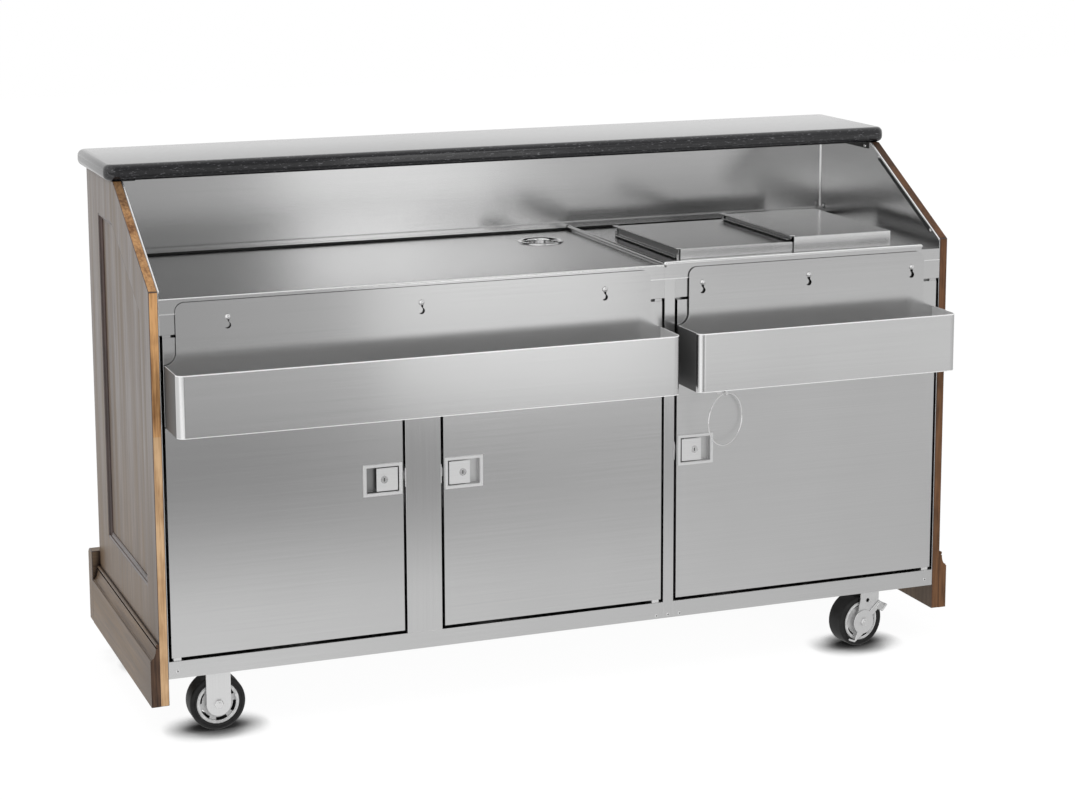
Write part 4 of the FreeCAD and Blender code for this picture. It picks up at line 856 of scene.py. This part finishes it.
for side in ("left", "middle", "right"):
    tray = sheet(f"{side}_latch_tray", latch_steel, SMALL_EASE)
    lining_steel = shadow_steel if side == "left" else lit_steel
    low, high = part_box(f"{side}_latch_tray")
    for face in tray.data.polygons:
        if face.center.y > low.y + RIM_TALL and face.normal.y < MOSTLY:
            face.material_index = coat_number(tray, lining_steel)
    sheet(f"{side}_bolt", latch_steel, SMALL_EASE)
    corners = [Vector((x, low.y, z)) for x, z in rectangle(low.x, high.x, low.z, high.z)]
    rim_shape = carried_round(corners, FORWARD, rim)
    added(built(f"{side}_latch_rim", *rim_shape, latch_steel), f"{side}_door")

    body = f"{side}_paddle"
    front = low.y
    paddle_low, paddle_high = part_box(body)
    paddle_middle = (paddle_low + paddle_high) / 2
    pin_right = high.x - paddle_high.x < paddle_low.x - low.x
    pin_way = 1 if pin_right else -1
    pin_x = paddle_high.x - PIN_IN if pin_right else paddle_low.x + PIN_IN
    free_x = paddle_low.x if pin_right else paddle_high.x
    plate_line = rectangle(free_x, pin_x + pin_way * KNUCKLE_SHOWS, paddle_low.z + PADDLE_GAP,
                           paddle_high.z - PADDLE_GAP)
    plate_shape = prism_between(front, front + PADDLE_THICK, plate_line, 1)
    plate = built(f"{side}_paddle_plate", *plate_shape, latch_steel)
    ease_edges(plate, PADDLE_EASE)
    stand_for(plate, body)
    knuckle_foot = Vector((pin_x, paddle_middle.y + KNUCKLE_BACK, paddle_low.z))
    knuckle_line = pin_profile(KNUCKLE, paddle_high.z - paddle_low.z)
    knuckle_shape = lathed(knuckle_line, knuckle_foot, UPWARD, LOCK_SIDES)
    added(built(f"{side}_paddle_knuckle", *knuckle_shape, gap_black), body)
    lock = Vector((pin_x - pin_way * LOCK_FROM_PIN, front, paddle_middle.z))
    lock_shape = lathed(lock_ring, lock, FORWARD, LOCK_SIDES)
    added(built(f"{side}_lock_cylinder", *lock_shape, bright), body)
    key_line = rectangle(lock.x - KEY_WIDE / 2, lock.x + KEY_WIDE / 2,
                         lock.z - KEY_TALL / 2, lock.z + KEY_TALL / 2)
    key_shape = prism_between(front - LOCK_FACE - KEY_PROUD, front, key_line, 1)
    added(built(f"{side}_key_way", *key_shape, gap_black), body)
sheet("strikes", latch_steel, STRIKE_EASE)

# Speed rails: folded stainless bottle troughs that hang by keyholes on six round studs.
# Their sheared rims and foot bands are painted bright as a highlight, their outer ends are painted dark as
# shade, and the inside of the trough is duller than its brushed front.
TROUGH_DULL = 0.40
RIM_BAND = 0.0024
FOOT_BAND = 0.0016
KEYHOLE_REACH = 0.030
EXACTLY = 0.99
SLIGHTLY = 0.05
rail_steel = brushed_steel("brushed rail steel", "X", tone=0.70)
plate_steel = brushed_steel("brushed rail plate", "X", tone=0.62)
trough_steel = brushed_steel("dull trough steel", "X", tone=0.82, rough=0.36)
# The outer ends of the rails are painted dark as shade.
end_shade_steel = brushed_steel("rail end painted in shade", "Z", tone=0.12, rough=0.45)
# Rims and foot bands, painted bright as a highlight.
rim_highlight_steel = brushed_steel("rail rim painted bright as highlight", "X", tone=0.95, rough=0.3)
for steel in (trough_steel, end_shade_steel, rim_highlight_steel):
    finish_with(steel, Metallic=TROUGH_DULL)


def scored(piece, height):
    """Cuts the faces of a piece along a level line and leaves its shape as it is."""
    with reworked(piece.data) as work:
        everything = work.verts[:] + work.edges[:] + work.faces[:]
        bmesh.ops.bisect_plane(work, geom=everything, plane_co=(0, 0, height), plane_no=UPWARD)


def loose_boxes(node):
    """The lowest and highest corners of each separate solid of a CAD node, from left to right."""
    work = bmesh.new()
    work.from_mesh(frame["nodes"][node].data)
    bmesh.ops.remove_doubles(work, verts=work.verts, dist=WELD)
    left = set(work.verts)
    boxes = []
    while left:
        reached = [left.pop()]
        for vert in reached:
            for edge in vert.link_edges:
                other = edge.other_vert(vert)
                if other in left:
                    left.remove(other)
                    reached.append(other)
        places = list(zip(*(vert.co for vert in reached)))
        boxes.append((Vector(min(axis) for axis in places), Vector(max(axis) for axis in places)))
    work.free()
    return sorted(boxes, key=lambda box: box[0].x)


stud_boxes = loose_boxes("hanging_studs")
stud_middles = [(low + high) / 2 for low, high in stud_boxes]
for node in ("long_speed_rail", "short_speed_rail"):
    rail = sheet(node, rail_steel)
    low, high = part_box(node)
    middle = (low + high) / 2
    wall_top = max(point.co.z for point in rail.data.vertices if point.co.y < low.y + WELD)
    scored(rail, wall_top - RIM_BAND)
    scored(rail, low.z + FOOT_BAND)
    for face in rail.data.polygons:
        front_part = face.center.y < middle.y
        lining = front_part and face.normal.y > SLIGHTLY
        bottom = face.normal.z > MOSTLY and face.center.z < middle.z
        ends = abs(face.normal.x) > SQUARELY and (face.center.x - middle.x) * face.normal.x < 0
        beside_stud = min((face.center - stud).length for stud in stud_middles) < KEYHOLE_REACH
        if lining or bottom or (ends and face.center.z < middle.z):
            face.material_index = coat_number(rail, trough_steel)
        elif face.normal.y < -SQUARELY and not front_part:
            face.material_index = coat_number(rail, plate_steel)
        elif beside_stud and abs(face.normal.y) < MOSTLY:
            face.material_index = coat_number(rail, gap_black)
        elif abs(face.normal.x) > EXACTLY and face.center.z < wall_top:
            face.material_index = coat_number(rail, end_shade_steel)
        elif front_part and not low.z + FOOT_BAND < face.center.z < wall_top - RIM_BAND:
            face.material_index = coat_number(rail, rim_highlight_steel)

STUD_SIDES = 32
STUD_DOME = 0.85
DOME_STEPS = 10
STUD_SHANK = 0.0073
STUD_NECK = 0.5
STUD_EDGE = 0.9
studs = []
for low, high in stud_boxes:
    middle = (low + high) / 2
    radius = (high.x - low.x) / 2
    turns = [math.radians(90 * n / DOME_STEPS) for n in range(DOME_STEPS + 1)]
    dome = [(radius * math.cos(turn), STUD_SHANK + STUD_DOME * radius * math.sin(turn)) for turn in turns]
    neck = radius * STUD_NECK
    shank = [(0, 0), (neck, 0), (neck, STUD_SHANK), (radius * STUD_EDGE, STUD_SHANK)]
    studs.append(lathed(shank + dome, Vector((middle.x, high.y, middle.z)), FORWARD, STUD_SIDES))
stand_for(built("hanging_stud_pins", *joined(studs), bright), "hanging_studs")

# Towel ring: a ring of bright round steel wire that hangs loose,
# held by an eye that is screwed to the right door.
for node in ("ring_eye", "towel_ring"):
    sheet(node, bright, 0.0)

# Casters: zinc plated pressed steel forks, a rigid pair at the left and a braked swivel pair at the right.
# Plates are bolted to the carriers, and each axle is a bolt closed with a hex nut.
FORK_EASE = 0.0007
NUT_SIDES = 6
NUT_HALF = 0.0092
NUT_TALL = 0.0056
NUT_CHAMFER = 0.0012
TIP_SIDES = 24
TIP_RADIUS = 0.0050
TIP_CREST = 0.0040
TIP_SHOULDER = 0.00096
TIP_OUT = 0.0016
FORK_HALF = 0.033
BRAKE_PLATE = 0.0038
WHEELS = [(end, kind) for end in ("front", "rear") for kind in ("rigid", "swivel")]
FACES = (("near", -1), ("far", 1))
zinc = brushed_steel("zinc plate", "Z", tone=0.76, rough=0.36)
for node in ("rigid_forks", "swivel_plates", "front_swivel_fork", "rear_swivel_fork", "front_brake",
             "rear_brake"):
    sheet(node, zinc, FORK_EASE)
wheel_axes = {joint["child"]: Vector(joint["axis"]).normalized() for joint in frame["joints"]}
across = NUT_HALF / math.cos(math.pi / NUT_SIDES)
nut_line = [(across, 0), (across, NUT_TALL - NUT_CHAMFER), (across - NUT_CHAMFER, NUT_TALL), (0, NUT_TALL)]
tip_line = [(TIP_RADIUS, 0), (TIP_RADIUS, NUT_TALL + TIP_SHOULDER), (TIP_CREST, NUT_TALL + TIP_OUT),
            (0, NUT_TALL + TIP_OUT)]
for end, kind in WHEELS:
    carrier = "cart" if kind == "rigid" else f"{end}_swivel"
    tyre_low, tyre_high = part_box(f"{end}_{kind}_tyre")
    axis = wheel_axes[frame["nodes"][f"{end}_{kind}_tyre"]["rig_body"]]
    for face_name, way in FACES:
        braked = kind == "swivel" and face_name == "near"
        seat = (tyre_low + tyre_high) / 2 + axis * way * (FORK_HALF + (BRAKE_PLATE if braked else 0.0))
        nut = lathed(nut_line, seat, axis * way, NUT_SIDES)
        tip = lathed(tip_line, seat, axis * way, TIP_SIDES)
        added(built(f"{end}_{kind}_{face_name}_axle_nut", *joined([nut, tip]), screw_steel), carrier)

# Wheels: a black rubber tyre with round shoulders and a groove in each sidewall,
# moulded on a pale grey plastic core with curved slots and a rib round its rim.
WHEEL_SIDES = 96
TYRE_HALF = 0.026
TYRE_BEAD = 0.0235
TYRE_INNER = 0.0485
TYRE_LIP = 0.003
LIP_START = 0.001
LIP_DROP = 0.0006
SHOULDER = 0.007
GROOVE_AT = 0.0535
GROOVE_WIDE = 0.0011
GROOVE_DEEP = 0.0008
GROOVE_SHAPE = ((0, 0), (1 / 3, 1), (1, 1), (1.4, 0))
CORE_EASE = 0.0006
CORE_HALF = 0.024
RIB_IN = 0.0430
RIB_OUT = 0.0470
RIB_TALL = 0.0012
VENT_HALF = 0.0175
VENT_IN = 0.035
VENT_OUT = 0.042
RUBBER_DARK = 0.006
RUBBER_PALE = 0.018
rubber = new_material("tyre rubber")
scuffs = streaks(rubber, (0.02,) * 3, detail=5.0, rough=0.65)
finish_with(rubber, Base_Color=grey_ramp(rubber, scuffs, (0.35, RUBBER_DARK), (0.70, RUBBER_PALE)),
            Roughness=spread(rubber, scuffs, low=0.42, high=0.58), Specular_IOR_Level=0.28,
            Normal=bumped(rubber, scuffs, strength=0.08, distance=0.0003))
core_plastic = new_material("core plastic")
smudges = streaks(core_plastic, (0.012,) * 3, detail=4.0, rough=0.6)
finish_with(core_plastic, Base_Color=grey_ramp(core_plastic, smudges, (0.32, 0.50), (0.66, 0.70)),
            Roughness=spread(core_plastic, smudges, low=0.34, high=0.48))
sidewall = [(TYRE_INNER, TYRE_BEAD), (TYRE_INNER + LIP_START, TYRE_HALF - LIP_DROP),
            (TYRE_INNER + TYRE_LIP, TYRE_HALF)]
sidewall += [(GROOVE_AT + GROOVE_WIDE * out, TYRE_HALF - GROOVE_DEEP * drop) for out, drop in GROOVE_SHAPE]
rib = [(RIB_IN, -RIB_TALL), (RIB_IN + RIB_TALL / 2, RIB_TALL), (RIB_OUT - RIB_TALL / 2, RIB_TALL),
       (RIB_OUT, -RIB_TALL)]
for end, kind in WHEELS:
    node = f"{end}_{kind}_tyre"
    wheel = frame["nodes"][node]["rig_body"]
    axis = wheel_axes[wheel]
    low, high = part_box(node)
    middle = (low + high) / 2
    radius = (high.z - low.z) / 2
    half = sidewall + quarter((radius - SHOULDER, TYRE_HALF - SHOULDER), SHOULDER, SHOULDER, 90)
    section = half + [(far, -level) for far, level in reversed(half)]
    tyre = built(f"{node}_rubber", *lathed(section, middle, axis, WHEEL_SIDES, True), rubber)
    stand_for(tyre, node)
    core = cleaned(f"{end}_{kind}_core", f"{end}_{kind}_core_moulding", core_plastic)
    for face in core.data.polygons:
        along = (face.center - middle).dot(axis)
        out = (face.center - middle - axis * along).length
        slot_wall = VENT_IN < out < VENT_OUT and abs(face.normal.dot(axis)) < MOSTLY
        if slot_wall and abs(along) < VENT_HALF:
            face.material_index = coat_number(core, gap_black)
    ease_edges(core, CORE_EASE)
    stand_for(core, f"{end}_{kind}_core")
    for face_name, way in FACES:
        rib_shape = lathed(rib, middle + axis * way * CORE_HALF, axis * way, WHEEL_SIDES, True)
        added(built(f"{end}_{kind}_{face_name}_rim_rib", *rib_shape, core_plastic), wheel)

# Studio: a white sweep with soft light, seen from the bartender's side, front left and above.
# Metal sees the pale sweep, greyer in front of the cart, and soft boxes and cards at the right.
LIGHT = 0.72
FRONT_SPAN = (-0.70, 0.15)
WHITE = (1, 1, 1, 1)
world = bpy.data.worlds.new("studio")
bpy.context.scene.world = world
world.use_nodes = True
world_path = shade(world, "LightPath")
toward = shade(world, "TexCoord").outputs["Generated"]
sky = shade(world, "SeparateXYZ", Vector=toward)
sideways = spread(world, sky.outputs["X"], 0.0, 1.0, -1.0, 1.0)
front_tone = grey_ramp(world, sideways, (0.30, 1.0), (0.44, 0.70), (0.53, 0.38), (0.60, 0.28), (0.78, 0.52))
front_share = spread(world, sky.outputs["Y"], 0.0, 1.0, *FRONT_SPAN)
sweep_tone = mixed(world, front_share, front_tone, WHITE)
mirror_tone = mixed(world, world_path.outputs["Is Glossy Ray"], WHITE, sweep_tone)
light_level = spread(world, world_path.outputs["Is Diffuse Ray"], 1.0, LIGHT)
backdrop = world.node_tree.nodes["Background"]
link_or_set(world, backdrop.inputs["Color"], mirror_tone)
link_or_set(world, backdrop.inputs["Strength"], light_level)

FLOOR_HALF = 14.0
FLOOR_WHITE = 0.94
FLOOR_MATT = 0.10
LEFT_WHITE = 1.25
LEFT_SPAN = (-1.5, -0.9)
FAR_TONES = (0.16, 0.60)
BEYOND_TONES = (0.32, 0.66)
FAR_SIDES = (-0.3, 2.6)
BEYOND_SPAN = (-4.6, -3.6)
NEAR_TONES = (0.75, 0.50)
NEAR_SIDES = (-0.8, 1.6)
NEAR_SPAN = (-2.3, -1.2)
CONTACT_REACH = 0.13
WHEEL_REACH = 0.076
CONTACT_SAMPLES = 24
floor_paint = new_material("white floor")
floor_x, floor_y = place_along(floor_paint, "X"), place_along(floor_paint, "Y")
far_tone = spread(floor_paint, floor_x, *FAR_TONES, *FAR_SIDES)
left_share = spread(floor_paint, floor_x, 1.0, 0.0, *LEFT_SPAN)
floor_tone = mixed(floor_paint, left_share, far_tone, (LEFT_WHITE, LEFT_WHITE, LEFT_WHITE, 1))
beyond_tone = spread(floor_paint, floor_x, *BEYOND_TONES, *FAR_SIDES)
beyond_share = spread(floor_paint, floor_y, 1.0, 0.0, *BEYOND_SPAN)
floor_tone = mixed(floor_paint, beyond_share, floor_tone, beyond_tone)
near_tone = spread(floor_paint, floor_x, *NEAR_TONES, *NEAR_SIDES)
near_share = spread(floor_paint, floor_y, 0.0, 1.0, *NEAR_SPAN)
floor_tone = mixed(floor_paint, near_share, floor_tone, near_tone)


def openness(reach):
    """How open the floor is, from 0 close under a thing to 1 with nothing within reach."""
    open_share = shade(floor_paint, "AmbientOcclusion", {"samples": CONTACT_SAMPLES}, Distance=reach)
    return open_share.outputs["AO"]


wide_shade = grey_ramp(floor_paint, openness(CONTACT_REACH), (0.28, 0.0), (0.42, FLOOR_WHITE * 0.25),
                       (0.54, FLOOR_WHITE * 0.72), (0.64, FLOOR_WHITE))
wheel_shade = grey_ramp(floor_paint, openness(WHEEL_REACH), (0.48, 0.0), (0.70, 0.12), (0.86, 0.50),
                        (0.985, 1.0))
contact = mixed(floor_paint, 1.0, wide_shade, wheel_shade, "MULTIPLY")
floor_path = shade(floor_paint, "LightPath")
glow = mixed(floor_paint, floor_path.outputs["Is Glossy Ray"], contact, floor_tone)
finish_with(floor_paint, Base_Color=(FLOOR_MATT, FLOOR_MATT, FLOOR_MATT, 1), Roughness=0.9,
            Specular_IOR_Level=0.0, Emission_Color=glow, Emission_Strength=1.0)
corners = [(x, y, 0) for x, y in rectangle(-FLOOR_HALF, FLOOR_HALF, -FLOOR_HALF, FLOOR_HALF)]
floor = built("floor", corners, [(0, 1, 2, 3)], floor_paint)

CARDS_AWAY = -3.4


def card(name, across, up, glow):
    """A white card in front of the cart that only the metal sees."""
    cloth = new_material(name)
    finish_with(cloth, Base_Color=(0, 0, 0, 1), Emission_Color=WHITE, Emission_Strength=glow)
    corners = [(x, CARDS_AWAY, z) for x, z in rectangle(*across, *up)]
    made = built(name, corners, [(0, 1, 2, 3)], cloth)
    made.visible_camera = False
    made.visible_diffuse = False
    made.visible_shadow = False


card("tall_soft_box", across=(0.50, 1.08), up=(0.9, 2.4), glow=1.60)
card("side_soft_box", across=(1.08, 1.68), up=(1.76, 2.4), glow=1.95)
card("side_card", across=(1.08, 1.50), up=(0.9, 1.76), glow=0.70)
card("upper_right_card", across=(1.68, 3.20), up=(1.2, 2.4), glow=0.62)
card("lower_soft_box", across=(0.45, 1.50), up=(0.0, 0.9), glow=1.05)
card("low_card", across=(1.50, 3.0), up=(0.0, 0.35), glow=0.80)
card("middle_card", across=(1.50, 3.0), up=(0.35, 0.75), glow=0.60)
card("left_low_card", across=(-0.60, 0.45), up=(0.0, 0.22), glow=0.56)


def soft_light(name, place, aim, size, power):
    """A rectangular soft light that faces a point and isn't mirrored in the metal."""
    data = bpy.data.lights.new(name, "AREA")
    data.shape = "RECTANGLE"
    data.size, data.size_y = size
    data.energy = power
    lamp = bpy.data.objects.new(name, data)
    lamp.location = place
    lamp.rotation_euler = (Vector(aim) - Vector(place)).to_track_quat("-Z", "Y").to_euler()
    lamp.visible_glossy = False
    bpy.context.scene.collection.objects.link(lamp)


soft_light("front light", place=(0.8, -4.4, 1.8), aim=(0.2, 0.0, 0.8), size=(2.4, 2.4), power=30)
soft_light("overhead light", place=(-0.6, -0.6, 4.2), aim=(0.0, 0.0, 0.6), size=(4.0, 3.0), power=60)

CAMERA_PLACE = Vector((-2.0759, -5.4677, 1.9562))
CAMERA_YAW = 0.3670
CAMERA_PITCH = -0.1712
CAMERA_ROLL = -0.0034
FOCAL_PIXELS = 2476.7
PHOTO_SIZE = (1075, 800)
MIDDLE_ROW = 271.0
SENSOR = 36.0
lens = bpy.data.cameras.new("photo camera")
lens.sensor_width = SENSOR
lens.sensor_fit = "HORIZONTAL"
lens.lens = FOCAL_PIXELS / PHOTO_SIZE[0] * SENSOR
lens.shift_y = (MIDDLE_ROW - PHOTO_SIZE[1] / 2) / PHOTO_SIZE[0]
camera = bpy.data.objects.new("photo camera", lens)
aimed = Matrix.Rotation(-CAMERA_YAW, 4, "Z") @ Matrix.Rotation(math.pi / 2 + CAMERA_PITCH, 4, "X")
camera.matrix_world = Matrix.Translation(CAMERA_PLACE) @ aimed @ Matrix.Rotation(CAMERA_ROLL, 4, "Z")
bpy.context.scene.collection.objects.link(camera)
bpy.context.scene.camera = camera
bpy.context.scene.view_settings.view_transform = "Standard"
